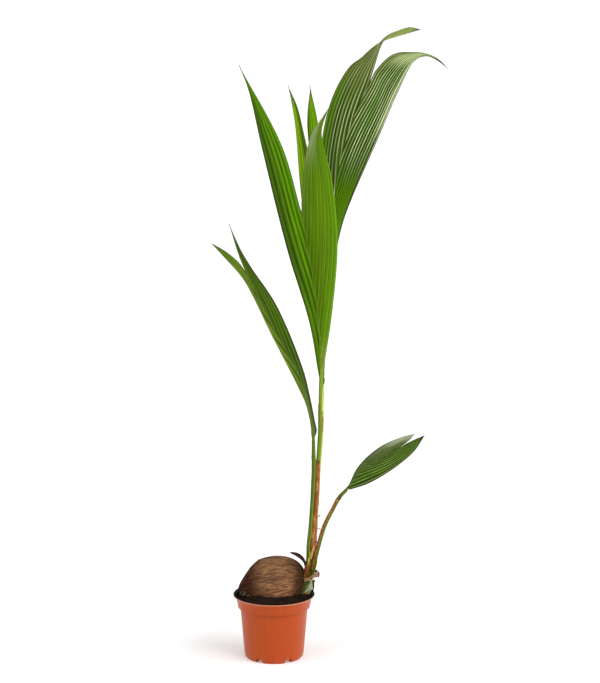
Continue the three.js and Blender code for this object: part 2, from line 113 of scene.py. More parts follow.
# A leaf's blade has two lobes on one rachis. A lobe's ribs leave the rachis one after another
# and meet at its tip, between the outer margin and the inner margin that starts at the split.
# Some tips end in a dead thread of a given length.
LEAVES = {
    "leaf_front": {
        "stalk": [(108.2, 0.8, 600.8), (108, -3.5, 640)],
        "base": (108.4, -9, 680),
        "rachis": [(103, -24, 794), (86, -44, 925)],
        "split": (64, -60, 1052),
        "lobes": [
            {
                "outer": [
                    (105.5, -6, 660), (101, -12, 690), (83, -30, 795), (33, -62, 966), (-24, -94, 1202),
                    (-51, -108, 1322),
                ],
                "inner": [(21, -84, 1201)],
                "tip": (-70, -118, 1375), "thread": 7, "pleats": 5, "camber": 0.14,
            },
            {
                "outer": [
                    (111, -6, 660), (115, -12, 688), (135, -34, 833), (145, -54, 988), (132, -58, 1123),
                    (109, -44, 1227),
                ],
                "inner": [(66, -62, 1113), (84, -52, 1217)],
                "tip": (123, -26, 1279), "pleats": 10, "camber": 0.1,
            },
        ],
    },
    "leaf_back": {
        "stalk": [(109.5, 4, 562), (110, 7.5, 582), (111, 12.5, 606), (112.5, 16, 640)],
        "base": (114.5, 21, 680),
        "rachis": [(121, 33, 800), (130, 48, 975), (150, 67, 1140), (178, 83, 1240)],
        "split": (219, 96, 1330),
        "lobes": [
            {
                "outer": [
                    (111, 23, 690), (106, 42, 810), (104, 64, 998), (112, 92, 1208), (137, 108, 1304),
                    (176, 119, 1370), (201, 120, 1388.5), (226, 124, 1411),
                    (250, 129, 1425), (284, 138, 1436),
                ],
                "inner": [
                    (232, 106, 1371), (247, 115, 1416), (262, 123, 1438), (284, 131, 1449), (314, 138, 1457),
                ],
                "tip": (338, 140, 1452), "pleats": 9, "camber": 0.12,
            },
            {
                "outer": [
                    (118, 23, 690), (127, 40, 790), (141, 58, 925), (159, 72, 1010), (181, 80, 1070),
                    (241, 98, 1206), (286.5, 114, 1311), (324.5, 126, 1381), (352, 129, 1391.5),
                    (379, 133, 1380.5),
                ],
                "inner": [
                    (236, 102, 1362), (276, 116, 1397), (322, 127, 1401), (352, 130, 1397.5),
                    (380, 133, 1384.5),
                ],
                "tip": (403, 136, 1361), "pleats": 13, "camber": 0.08,
            },
        ],
    },
    "leaf_inner": {
        "stalk": [(110, 7, 600.8), (110, 6.4, 640)],
        "base": (110, 6, 680),
        "rachis": [(109, 8, 842), (100, 14, 1020)],
        "split": (86, 18, 1150),
        "lobes": [
            {
                "outer": [(106, 5, 690), (92, 4, 900), (64, 6, 1080), (50, 10, 1240)],
                "inner": [(72, 17, 1212), (54, 14, 1284)],
                "tip": (36, 12, 1324), "thread": 8, "pleats": 5, "camber": 0.15,
            },
            {
                "outer": [(114, 7, 690), (118, 16, 900), (112, 27, 1120), (101, 33, 1246)],
                "inner": [(77.5, 27, 1249)],
                "tip": (84, 36, 1323), "thread": 9, "pleats": 5, "camber": 0.15,
            },
        ],
    },
    "leaf_left": {
        "stalk": [(91.9, 14, 470), (92, 14, 500)],
        "base": (92, 14, 513.9),
        "rachis": [(90, 14, 550), (64, 14, 657), (7, 12, 767)],
        "split": (-52, 10, 888),
        "lobes": [
            {
                "outer": [
                    (93.5, 12, 518), (99, 9.5, 536), (94, 5, 560), (82, -8, 622), (66, -20, 688),
                    (6, -38, 838), (-49, -34, 922), (-73, -26, 962),
                ],
                "inner": [(-76, -4, 947)],
                "tip": (-98, -14, 1016), "thread": 7, "pleats": 7, "camber": 0.12,
            },
            {
                "outer": [
                    (88, 17, 520), (85, 19, 545), (75, 28, 596), (61, 34, 627), (1, 52, 748),
                    (-41, 58, 839), (-72, 56, 889), (-112, 50, 934),
                ],
                "inner": [(-81, 26, 928), (-108, 38, 950)],
                "tip": (-143, 44, 970), "pleats": 6, "camber": 0.12,
            },
        ],
    },
    "leaf_right": {
        "stalk": [(146, 39.5, 358), (160, 43, 378)],
        "base": (170.1, 45.2, 388.6),
        "rachis": [(206, 55, 431), (246, 63, 455)],
        "split": (294, 74, 482),
        "lobes": [
            {
                "outer": [(174, 50, 395), (197, 70, 437), (245, 90, 478), (298, 94, 503)],
                "inner": [(319, 84, 499)],
                "tip": (331, 88, 513), "relief": 0.06, "pleats": 12, "camber": 0.1,
            },
            {
                "outer": [(176, 42, 389), (214, 32, 404), (249, 30, 423), (288, 36, 448), (327, 46, 480)],
                "inner": [(319, 70, 498)],
                "tip": (353, 62, 515), "relief": 0.06, "pleats": 11, "camber": 0.1,
            },
        ],
    },
}


# ------------------------------------------------------------------ settings


def linear(hex_colour):
    """The linear red, green, blue and alpha of an sRGB hex colour."""
    channels = [int(hex_colour[start:start + 2], 16) / 255 for start in (1, 3, 5)]
    return [c / 12.92 if c <= 0.04045 else ((c + 0.055) / 1.055) ** 2.4 for c in channels] + [1.0]


def shade_of(value, factor):
    """A colour made lighter or darker."""
    return tuple(min(1, factor * c) for c in value[:3]) + (1,)


def colour(name, description, hex_colour):
    """A colour property whose default is an sRGB hex colour."""
    return bpy.props.FloatVectorProperty(
        name=name, description=description, subtype="COLOR", size=4, min=0, max=1, default=linear(hex_colour)
    )


def length(name, description, millimetres):
    """A length property whose default is given in millimetres."""
    return bpy.props.FloatProperty(
        name=name, description=description, unit="LENGTH", min=0, precision=4, default=millimetres * MM
    )


class PalmSizes(bpy.types.PropertyGroup):
    blade_thickness: length("Blade thickness", "Thickness of a leaf blade", 0.8)
    pleat_depth: length("Pleat depth", "Most that a rib stands out of the blade's middle surface", 2.4)
    husk_relief: length("Husk relief", "Depth of the fibres in the husk", 1.1)
    compost_relief: length("Compost relief", "Height of the clods on the compost", 2.2)
    pot_edge_radius: length("Pot edge radius", "Rounding of the pot's moulded edges", 0.5)
    floor_radius: length("Floor radius", "Radius of the studio floor", 60000)
    crumbs: bpy.props.IntProperty(
        name="Crumbs", description="Number of loose crumbs on the compost", min=0, default=900
    )
    fibres: bpy.props.IntProperty(
        name="Husk fibres", description="Number of loose fibres on the husk", min=0, default=260
    )


class PalmColours(bpy.types.PropertyGroup):
    pot_outside: colour("Pot outside", "Terracotta-coloured polypropylene", "#a8441a")
    pot_inside: colour("Pot inside", "Black polypropylene", "#0d0c0c")
    compost: colour("Compost", "Damp peat compost", "#170e09")
    husk: colour("Husk", "Dry husk fibre", "#86603f")
    husk_dark: colour("Husk shade", "Weathered husk between the fibres", "#4c3025")
    husk_light: colour("Husk light", "Bare, worn fibres", "#ad8560")
    stalk: colour("Stalks", "Smooth green leaf stalk", "#708a1e")
    floor: colour("Floor", "Matte studio floor", "#f4f4f4")


# ------------------------------------------------------------------ curves and noise


class Path:
    """A smooth curve through points, read by the share of its length from 0 to 1."""

    def __init__(self, points):
        knots = np.array(points, float)
        knots = np.vstack([2 * knots[0] - knots[1], knots, 2 * knots[-1] - knots[-2]])
        gaps = np.sqrt(np.linalg.norm(np.diff(knots, axis=0), axis=1))
        t = np.linspace(0, 1, 60)[:, None]
        spans = [knots[1][None, :]]
        for i in range(1, len(knots) - 2):
            before, start, end, after = knots[i - 1:i + 3]
            gap_before, gap, gap_after = gaps[i - 1:i + 2]
            pace = (end - start) / gap
            leaving = (start - before) / gap_before - (end - before) / (gap_before + gap) + pace
            arriving = pace - (after - start) / (gap + gap_after) + (after - end) / gap_after
            leaving, arriving = leaving * gap, arriving * gap
            bend = 3 * (end - start) - 2 * leaving - arriving
            twist = 2 * (start - end) + leaving + arriving
            spans.append((start + leaving * t + bend * t**2 + twist * t**3)[1:])
        self.places = np.vstack(spans)
        steps = np.linalg.norm(np.diff(self.places, axis=0), axis=1)
        self.length = steps.sum()
        self.shares = np.concatenate([[0], steps.cumsum()]) / self.length

    def at(self, share):
        """Places at an array of shares."""
        return np.stack([np.interp(share, self.shares, axis) for axis in self.places.T], axis=-1)

    def frame(self, share, across):
        """Unit directions along, to the side and to the back at an array of shares."""
        step = self.at(np.minimum(share + 0.004, 1)) - self.at(np.maximum(share - 0.004, 0))
        along = unit(step)
        side = unit(across - (along @ np.array(across, float))[..., None] * along)
        return along, side, np.cross(along, side)


def unit(vectors):
    """Vectors brought to length 1; one of no length stays as it is."""
    lengths = np.linalg.norm(vectors, axis=-1, keepdims=True)
    return vectors / np.where(lengths > 1e-9, lengths, 1)


def smoothstep(values, start, end):
    """0 below start, 1 above end, and a smooth rise between."""
    t = np.clip((values - start) / (end - start), 0, 1)
    return t * t * (3 - 2 * t)


NOISE_LATTICE = np.random.default_rng(7).uniform(-1, 1, (64, 64, 64))


def noise(places, size, octaves=1):
    """Smooth noise of about -1 to 1 at places, with features about size across, or one size an axis."""
    scaled = np.asarray(places, float) / size
    total = np.zeros(scaled.shape[:-1])
    for octave in range(octaves):
        cell = np.floor(scaled).astype(int)
        part = scaled - cell
        part = part * part * (3 - 2 * part)
        for corner in np.ndindex(2, 2, 2):
            share = np.prod(np.where(corner, part, 1 - part), axis=-1)
            index = (cell + corner) % 64
            total += 0.5**octave * share * NOISE_LATTICE[index[..., 0], index[..., 1], index[..., 2]]
        scaled = scaled * 2 + 11.7
    return total


# ------------------------------------------------------------------ modelling helpers


def add_primitive(kind, name, **settings):
    """Adds a mesh primitive with nothing else selected."""
    bpy.ops.object.select_all(action="DESELECT")
    getattr(bpy.ops.mesh, f"primitive_{kind}_add")(**settings)
    piece = bpy.context.object
    piece.name = name
    piece.data.name = name
    return piece


def pick(piece):
    """Makes piece the only selected object and the active one."""
    bpy.ops.object.select_all(action="DESELECT")
    piece.select_set(True)
    bpy.context.view_layer.objects.active = piece


@contextmanager
def editing(piece):
    """Edit mode on piece alone, with everything in it selected."""
    pick(piece)
    bpy.ops.object.mode_set(mode="EDIT")
    bpy.ops.mesh.select_all(action="SELECT")
    yield
    bpy.ops.object.mode_set(mode="OBJECT")


def apply_modifier(piece, kind, **settings):
    """Adds a modifier with its settings and applies it."""
    pick(piece)
    modifier = piece.modifiers.new(kind.title(), kind)
    for name, value in settings.items():
        setattr(modifier, name, value)
    bpy.ops.object.modifier_apply(modifier=modifier.name)


def mesh_piece(name, places, faces):
    """A piece from places in millimetres and the corners of its faces."""
    mesh = bpy.data.meshes.new(name)
    mesh.from_pydata([list(p) for p in np.asarray(places, float) * MM], [], faces)
    piece = bpy.data.objects.new(name, mesh)
    bpy.context.scene.collection.objects.link(piece)
    pick(piece)
    return piece


def vertex_places(piece):
    """The vertices' places in millimetres."""
    places = np.empty(len(piece.data.vertices) * 3)
    piece.data.vertices.foreach_get("co", places)
    return places.reshape(-1, 3) / MM


def move_vertices(piece, places):
    """Puts the vertices at places in millimetres."""
    piece.data.vertices.foreach_set("co", (np.asarray(places) * MM).ravel())
    piece.data.update()


def bent_grid(name, rule, columns, rows):
    """A grid primitive bent to rule, which turns u and v from 0 to 1 into places in millimetres."""
    piece = add_primitive("grid", name, x_subdivisions=columns, y_subdivisions=rows, size=1)
    flat = vertex_places(piece) * MM + 0.5
    column = np.rint(flat[:, 0] * columns).astype(int)
    row = np.rint(flat[:, 1] * rows).astype(int)
    places = rule(*np.meshgrid(np.linspace(0, 1, columns + 1), np.linspace(0, 1, rows + 1)))
    move_vertices(piece, places[row, column])
    piece.data.uv_layers[0].name = "surface"
    return piece


def close_tube(piece):
    """Joins a rolled-up grid along its seam and caps its ends."""
    with editing(piece):
        bpy.ops.mesh.remove_doubles(threshold=0.005 * MM)
        bpy.ops.mesh.fill_holes(sides=0)
        bpy.ops.mesh.normals_make_consistent(inside=False)


def shade(piece, degrees=None):
    """Smooth shading, kept sharp where faces meet at more than this angle."""
    pick(piece)
    if degrees is None:
        bpy.ops.object.shade_smooth()
    else:
        bpy.ops.object.shade_smooth_by_angle(angle=math.radians(degrees))


def join(name, pieces):
    """One piece of several."""
    bpy.ops.object.select_all(action="DESELECT")
    for piece in pieces:
        piece.select_set(True)
    bpy.context.view_layer.objects.active = pieces[0]
    bpy.ops.object.join()
    pieces[0].name = name
    pieces[0].data.name = name
    return pieces[0]


def give_materials(piece, *materials):
    """Sets the piece's material slots."""
    piece.data.materials.clear()
    for material in materials:
        piece.data.materials.append(material)


def settle(piece, slot, *nodes):
    """Fixes a finished piece to the plant and hides the nodes it stands for. Its slot is not used."""
    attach(piece, "root")
    if nodes:
        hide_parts(*nodes)


def finish(piece, material, degrees, slot, *nodes):
    """Gives a piece its material and shading, and settles it."""
    give_materials(piece, material)
    shade(piece, degrees)
    settle(piece, slot, *nodes)


def limb_places(path, share, angle, half_width, half_depth):
    """Places round a path at shares of its length and at angles."""
    _, side, back = path.frame(share, (1, 0, 0))
    to_side = (half_width * np.cos(angle))[..., None] * side
    to_back = (half_depth * np.sin(angle))[..., None] * back
    return path.at(share) + to_side + to_back


def limb(name, points, size, columns, rows):
    """A round limb along points. size gives half widths and half depths at shares and angles."""
    path = Path(points)

    def rule(u, v):
        angle = math.pi / 2 + 2 * math.pi * u
        return limb_places(path, v, angle, *size(v, angle))

    piece = bent_grid(name, rule, columns, rows)
    close_tube(piece)
    return piece


def sheath_rule(path, size, angles, shares, lift):
    """A rule for a plate that hugs a limb.

    angles gives its two edges in degrees at v, shares its lower and upper ends at u, and lift its
    height off the limb at u and v.
    """

    def rule(u, v):
        first, last = angles(v)
        low, high = shares(u)
        angle = np.radians(first + (last - first) * u)
        share = np.clip(low + (high - low) * v, 0, 1)
        half_width, half_depth = size(share, angle)
        off = lift(u, v)
        return limb_places(path, share, angle, half_width + off, half_depth + off)

    return rule


# ------------------------------------------------------------------ material helpers

MIX_FACTOR, MIX_FIRST, MIX_SECOND, MIX_RESULT = 0, 6, 7, 2

WAX_TINT = (0.8, 0.95, 0.3, 1)  # the leaf wax's sheen, greened by the skin under it


def add_node(tree, kind, settings=None, inputs=None):
    """Adds a node, sets its properties, and fills its inputs with values or links."""
    node = tree.nodes.new(kind)
    for name, value in (settings or {}).items():
        setattr(node, name, value)
    for socket, value in (inputs or {}).items():
        if isinstance(value, bpy.types.NodeSocket):
            tree.links.new(value, node.inputs[socket])
        else:
            node.inputs[socket].default_value = value
    return node


def start_material(name, roughness, **surface):
    """A new material with a Principled surface whose constant sockets are set by name."""
    material = bpy.data.materials.new(name)
    material.use_nodes = True
    shader = material.node_tree.nodes["Principled BSDF"]
    shader.inputs["Roughness"].default_value = roughness
    for socket, value in surface.items():
        shader.inputs[socket.replace("_", " ")].default_value = value
    return material, material.node_tree, shader


def maths(tree, operation, *values):
    """The result of a Math node."""
    return add_node(tree, "ShaderNodeMath", {"operation": operation}, dict(enumerate(values))).outputs[0]


def times(tree, first, second):
    """The product of two values."""
    return maths(tree, "MULTIPLY", first, second)


def remap(tree, value, low, high, to_low=0.0, to_high=1.0):
    """The result of a smooth Map Range node."""
    inputs = {"Value": value, "From Min": low, "From Max": high, "To Min": to_low, "To Max": to_high}
    return add_node(tree, "ShaderNodeMapRange", {"interpolation_type": "SMOOTHSTEP"}, inputs).outputs[0]


def mixed(tree, factor, first, second, blend="MIX"):
    """The colour between two colours."""
    settings = {"data_type": "RGBA", "blend_type": blend}
    inputs = {MIX_FACTOR: factor, MIX_FIRST: first, MIX_SECOND: second}
    return add_node(tree, "ShaderNodeMix", settings, inputs).outputs[MIX_RESULT]


def tinted(tree, factor, tone, tint):
    """A tone multiplied by a tint as far as the factor says."""
    return mixed(tree, factor, tone, mixed(tree, 1.0, tone, (*tint, 1), "MULTIPLY"))


def paint(tree, shader, tone):
    """Gives the shader its colour."""
    tree.links.new(tone, shader.inputs["Base Color"])


def channels(tree, vector):
    """The three parts of a vector."""
    return add_node(tree, "ShaderNodeSeparateXYZ", {}, {0: vector}).outputs


def combined(tree, *parts):
    """The vector of two or three parts."""
    return add_node(tree, "ShaderNodeCombineXYZ", {}, dict(enumerate(parts))).outputs[0]


def rounded(tree, around, radius):
    """Two parts, in metres, that run once round a circle of a radius in millimetres."""
    turn = times(tree, around, 2 * math.pi)
    return [times(tree, maths(tree, side, turn), radius * MM) for side in ("COSINE", "SINE")]


def stretched_noise(tree, vector, sizes, detail=3.0):
    """Noise whose features have these sizes in millimetres along the vector's axes, in metres."""
    scale = tuple(1 / (size * MM) for size in sizes)
    mapping = add_node(tree, "ShaderNodeMapping", {}, {"Vector": vector, "Scale": scale})
    inputs = {"Vector": mapping.outputs[0], "Scale": 1.0, "Detail": detail, "Roughness": 0.55}
    return add_node(tree, "ShaderNodeTexNoise", {}, inputs).outputs[0]


def object_coordinates(tree):
    return add_node(tree, "ShaderNodeTexCoord").outputs["Object"]


def surface_coordinates(tree):
    """The two parts of the piece's own UV map."""
    vector = add_node(tree, "ShaderNodeUVMap", {"uv_map": "surface"}).outputs[0]
    return channels(tree, vector)[:2]


def bump(tree, shader, height, millimetres):
    """Gives the shader the relief of a height from 0 to 1, this many millimetres deep."""
    inputs = {"Height": height, "Strength": 1.0, "Distance": millimetres * MM}
    tree.links.new(add_node(tree, "ShaderNodeBump", {}, inputs).outputs[0], shader.inputs["Normal"])


# ------------------------------------------------------------------ stage and camera


ROOM_LIGHT = 0.27  # of the white that the camera sees behind the plant
CAMERA_PLACE = (0.06084, -4.5137, 1.5198)  # metres
CAMERA_DIP = 9.7  # degrees below level
FOCAL_LENGTH = 105.4173
SENSOR_WIDTH = 36
SIGHT_END = 200  # metres


def floor_material(colours):
    """Matte painted board: no gloss, one even colour with a trace of unevenness."""
    material, tree, shader = start_material(
        "matte_board", 0.95, Specular_IOR_Level=0.0, Emission_Strength=0.25
    )
    shader.inputs["Emission Color"].default_value = colours.floor
    uneven = stretched_noise(tree, object_coordinates(tree), (900, 900, 900))
    tone = mixed(tree, remap(tree, uneven, 0.3, 0.7, 0.0, 0.01), colours.floor, (0.8, 0.8, 0.8, 1))
    paint(tree, shader, tone)
    return material


def add_sun(name, azimuth, elevation, strength, width):
    """A far, soft lamp. Azimuth 0 is the camera's side and 90 the right; all angles in degrees."""
    bpy.ops.object.light_add(type="SUN")
    lamp = bpy.context.object
    lamp.name = name
    lamp.rotation_euler = (math.radians(90 - elevation), 0, math.radians(azimuth))
    lamp.data.energy = strength
    lamp.data.angle = math.radians(width)


class PALM_OT_camera(bpy.types.Operator):
    """Sets the camera a little above the leaves, four and a half metres in front of the pot"""

    bl_idname = "palm.camera"
    bl_label = "Camera"

    def execute(self, context):
        bpy.ops.object.camera_add()
        camera = context.object
        camera.name = "camera"
        camera.location = CAMERA_PLACE
        camera.rotation_euler = (math.radians(90 - CAMERA_DIP), 0, 0)
        camera.data.sensor_width = SENSOR_WIDTH
        camera.data.lens = FOCAL_LENGTH
        camera.data.clip_end = SIGHT_END
        context.scene.camera = camera
        return {"FINISHED"}


class PALM_OT_stage(bpy.types.Operator):
    """Adds the pale floor, the even white surroundings and two broad soft lamps"""

    bl_idname = "palm.stage"
    bl_label = "Stage"

    def execute(self, context):
        sizes, colours = context.scene.palm_sizes, context.scene.palm_colours
        floor = add_primitive("circle", "floor", vertices=96, radius=sizes.floor_radius, fill_type="NGON")
        give_materials(floor, floor_material(colours))
        world = bpy.data.worlds.new("surroundings")
        context.scene.world = world
        world.use_nodes = True
        tree = world.node_tree
        seen = add_node(tree, "ShaderNodeLightPath").outputs["Is Camera Ray"]
        strength = maths(tree, "MULTIPLY_ADD", seen, 1.05 - ROOM_LIGHT, ROOM_LIGHT)
        tree.links.new(strength, tree.nodes["Background"].inputs["Strength"])
        tree.nodes["Background"].inputs["Color"].default_value = (1, 1, 1, 1)
        add_sun("right_lamp", 60, 28, 2.3, 60)
        add_sun("left_lamp", -65, 26, 1.0, 60)
        add_sun("top_lamp", 0, 78, 0.9, 90)
        context.scene.view_settings.view_transform = "Standard"
        return {"FINISHED"}


# ------------------------------------------------------------------ pot and compost


def pot_profile():
    """Radius and height round the pot's section, from the middle of its underside to its floor."""
    wall = POT_WALL
    foot = POT_BASE_RADIUS - 3
    collar_bottom = POT_HEIGHT - POT_COLLAR_HEIGHT
    return [
        (0, 0), (16, 0), (18, POT_RECESS), (foot - 10.5, POT_RECESS), (foot - 9, 0), (foot, 0),
        (POT_BASE_RADIUS, 4), (POT_BASE_RADIUS + 1.2, 11), (POT_BODY_RADIUS - 0.6, collar_bottom - 5),
        (POT_BODY_RADIUS, collar_bottom - 1), (POT_COLLAR_FOOT_RADIUS, collar_bottom),
        (POT_COLLAR_FOOT_RADIUS + 1.2, collar_bottom + 10), (POT_COLLAR_FOOT_RADIUS + 2, collar_bottom + 12),
        (POT_COLLAR_RADIUS, POT_HEIGHT - 9), (POT_COLLAR_RADIUS + 2.2, POT_HEIGHT - 5),
        (POT_LIP_RADIUS, POT_HEIGHT - 2), (POT_LIP_RADIUS, POT_HEIGHT),
        (POT_LIP_RADIUS - wall, POT_HEIGHT), (POT_COLLAR_RADIUS + 2.2 - wall, POT_HEIGHT - 4),
        (POT_COLLAR_RADIUS - wall, POT_HEIGHT - 8), (POT_COLLAR_FOOT_RADIUS - wall, collar_bottom + 1.5),
        (POT_BODY_RADIUS - wall, collar_bottom - 1.5), (POT_BASE_RADIUS - wall, POT_FLOOR + 4),
        (POT_BASE_RADIUS - wall - 4, POT_FLOOR), (0, POT_FLOOR),
    ]


def spun_pot():
    """The pot's section spun round its axis."""
    profile = pot_profile()
    mesh = bpy.data.meshes.new("nursery_pot")
    places = [(radius * MM, 0, height * MM) for radius, height in profile]
    mesh.from_pydata(places, [(i, i + 1) for i in range(len(profile) - 1)], [])
    pot = bpy.data.objects.new("nursery_pot", mesh)
    bpy.context.scene.collection.objects.link(pot)
    with editing(pot):
        bpy.ops.mesh.spin(steps=144, angle=2 * math.pi, center=(0, 0, 0), axis=(0, 0, 1))
        bpy.ops.mesh.select_all(action="SELECT")
        bpy.ops.mesh.remove_doubles(threshold=0.01 * MM)
        bpy.ops.mesh.normals_make_consistent(inside=False)
    return pot


def pot_cutters():
    """The slots between the feet and the drain holes beside them, as one cutter."""
    cutters = []
    for i in range(NOTCHES):
        angle = 2 * math.pi * (i + 0.5) / NOTCHES
        out = (math.sin(angle), -math.cos(angle))
        slot = add_primitive(
            "cube", "slot", size=1, rotation=(0, 0, angle),
            location=(POT_BASE_RADIUS * MM * out[0], POT_BASE_RADIUS * MM * out[1], 0),
            scale=(NOTCH_WIDTH * MM, 30 * MM, 2 * NOTCH_HEIGHT * MM),
        )
        apply_modifier(slot, "BEVEL", width=3 * MM, segments=4, limit_method="ANGLE")
        hole = add_primitive(
            "cylinder", "hole", vertices=32, radius=DRAIN_HOLE_RADIUS * MM, depth=40 * MM,
            location=(DRAIN_HOLE_RING * MM * out[0], DRAIN_HOLE_RING * MM * out[1], 0),
        )
        cutters += [slot, hole]
    return join("pot_cutters", cutters)


def pot_outside_material(colours):
    """Polypropylene, thermoformed: satin, with faint upright draw marks and scuffs near its edges,
    a painted highlight along its lip and painted shade under its collar.
    """
    material, tree, shader = start_material(
        "thermoformed_polypropylene", 0.36, Specular_IOR_Level=0.28, Specular_Tint=(1, 0.62, 0.42, 1)
    )
    place = object_coordinates(tree)
    height = channels(tree, place)[2]
    drawn = stretched_noise(tree, place, (9, 9, 160))
    speckle = stretched_noise(tree, place, (1.6, 1.6, 1.6))
    light = shade_of(colours.pot_outside, 1.35)
    tone = mixed(tree, remap(tree, drawn, 0.35, 0.75, 0.0, 0.25), colours.pot_outside, light)
    scuffed = times(tree, remap(tree, speckle, 0.6, 0.72), remap(tree, height, 0.02, 0.004))
    tone = mixed(tree, times(tree, scuffed, 0.5), tone, (0.75, 0.45, 0.32, 1))
    # A painted highlight: a lighter band along the lip's outer edge.
    lip = remap(tree, height, (POT_HEIGHT - 2.2) * MM, (POT_HEIGHT - 0.8) * MM, 0.0, 0.6)
    tone = mixed(tree, lip, tone, (0.8, 0.42, 0.27, 1))
    # Painted shade: a darker band under the collar.
    from_collar = maths(tree, "ABSOLUTE", maths(tree, "ADD", height, -UNDER_COLLAR * MM))
    under = remap(tree, from_collar, 0.003, 0.0005, 0.0, 0.5)
    tone = mixed(tree, under, tone, shade_of(colours.pot_outside, 0.55))
    paint(tree, shader, tone)
    tree.links.new(remap(tree, drawn, 0.3, 0.7, 0.32, 0.42), shader.inputs["Roughness"])
    bump(tree, shader, maths(tree, "MULTIPLY_ADD", drawn, 0.7, times(tree, speckle, 0.3)), 0.12)
    return material


def pot_inside_material(colours):
    """Black polypropylene, the inner layer of the same sheet, dulled by compost dust."""
    material, tree, shader = start_material("black_polypropylene", 0.45, IOR=1.49)
    dust = stretched_noise(tree, object_coordinates(tree), (6, 6, 6), detail=6)
    tone = mixed(tree, remap(tree, dust, 0.5, 0.8, 0.0, 0.5), colours.pot_inside, (0.03, 0.022, 0.016, 1))
    paint(tree, shader, tone)
    tree.links.new(remap(tree, dust, 0.35, 0.65, 0.35, 0.7), shader.inputs["Roughness"])
    return material


class PALM_OT_pot(bpy.types.Operator):
    """Models the thin nursery pot, orange outside and black inside, with its feet and drain holes"""

    bl_idname = "palm.pot"
    bl_label = "Pot"

    def execute(self, context):
        sizes, colours = context.scene.palm_sizes, context.scene.palm_colours
        pot = spun_pot()
        cutters = pot_cutters()
        apply_modifier(pot, "BOOLEAN", object=cutters, operation="DIFFERENCE", solver="EXACT")
        bpy.data.objects.remove(cutters)
        apply_modifier(
            pot, "BEVEL", width=sizes.pot_edge_radius, segments=2, limit_method="ANGLE",
            angle_limit=math.radians(32), use_clamp_overlap=True,
        )
        give_materials(pot, pot_outside_material(colours), pot_inside_material(colours))
        for face in pot.data.polygons:
            radius = math.hypot(face.center.x, face.center.y)
            outward = (face.center.x * face.normal.x + face.center.y * face.normal.y) / max(radius, MM)
            above_floor = face.center.z > (POT_FLOOR - 1) * MM
            on_steps = POT_STEPS * MM < face.center.z < (POT_HEIGHT - 1) * MM
            faces_up = face.normal.z > 0.7 and not on_steps
            inside = above_floor and (outward < -0.2 or faces_up)
            face.material_index = 1 if inside else 0
        shade(pot, 28)
        settle(pot, "pot_plastic", "pot")
        return {"FINISHED"}


def compost_height(x, y):
    """Height of the compost: low at the wall and mounded round the nut."""
    reach = np.hypot(x, y) / (POT_COLLAR_RADIUS - POT_WALL)
    mound = 1 - smoothstep(reach, 0.55, 1)
    uneven = np.sin(x * 0.13 + 1) * np.cos(y * 0.11) * (1 - reach * reach)
    heap = HEAP_HEIGHT * np.exp(-((x - HEAP_X) ** 2 + (y - HEAP_Y) ** 2) / HEAP_SPREAD)
    return COMPOST_EDGE + (COMPOST_MOUND - COMPOST_EDGE) * mound + uneven + heap


def compost_material(colours):
    """Damp peat compost: near black, matte, with brown bark crumbs and a few pale fibres."""
    material, tree, shader = start_material("peat_compost", 0.9, Specular_IOR_Level=0.1)
    place = object_coordinates(tree)
    crumb = stretched_noise(tree, place, (2.5, 2.5, 2.5), detail=5)
    bark = stretched_noise(tree, place, (5, 3, 4), detail=2)
    tone = mixed(tree, remap(tree, crumb, 0.4, 0.7), colours.compost, linear("#35231a"))
    tone = mixed(tree, remap(tree, bark, 0.66, 0.72, 0.0, 0.8), tone, linear("#5a4130"))
    paint(tree, shader, tone)
    bump(tree, shader, crumb, 1.5)
    return material


class PALM_OT_compost(bpy.types.Operator):
    """Fills the pot with lumpy compost and scatters crumbs on it"""

    bl_idname = "palm.compost"
    bl_label = "Compost"

    def execute(self, context):
        sizes, colours = context.scene.palm_sizes, context.scene.palm_colours
        top_radius = POT_COLLAR_RADIUS - POT_WALL - COMPOST_GAP
        relief = sizes.compost_relief / MM

        def rule(u, v):
            """A square grid drawn out to a disc, with clods."""
            x, y = 2 * u - 1, 2 * v - 1
            disc_x = x * np.sqrt(1 - y * y / 2) * top_radius
            disc_y = y * np.sqrt(1 - x * x / 2) * top_radius
            flat = np.stack([disc_x, disc_y, np.zeros_like(disc_x)], axis=-1)
            clods = relief * (0.6 * np.abs(noise(flat, 9, 3)) + 0.35 * noise(flat, 3, 2))
            return flat + np.stack([0 * x, 0 * x, compost_height(disc_x, disc_y) + clods], axis=-1)

        fill = bent_grid("compost_fill", rule, 150, 150)
        with editing(fill):
            bpy.ops.mesh.region_to_loop()
            last = top_radius
            for height, radius in COMPOST_SIDE:
                bpy.ops.mesh.extrude_region_move()
                shrink = radius / last
                bpy.ops.transform.resize(value=(shrink, shrink, 0), center_override=(0, 0, height * MM))
                last = radius
            bpy.ops.mesh.edge_face_add()
            bpy.ops.mesh.select_all(action="SELECT")
            bpy.ops.mesh.normals_make_consistent(inside=False)
        material = compost_material(colours)
        finish(fill, material, 60, "compost", "compost")
        crumbs = scattered_crumbs(sizes.crumbs, top_radius)
        give_materials(crumbs, material)
        settle(crumbs, "compost")
        return {"FINISHED"}


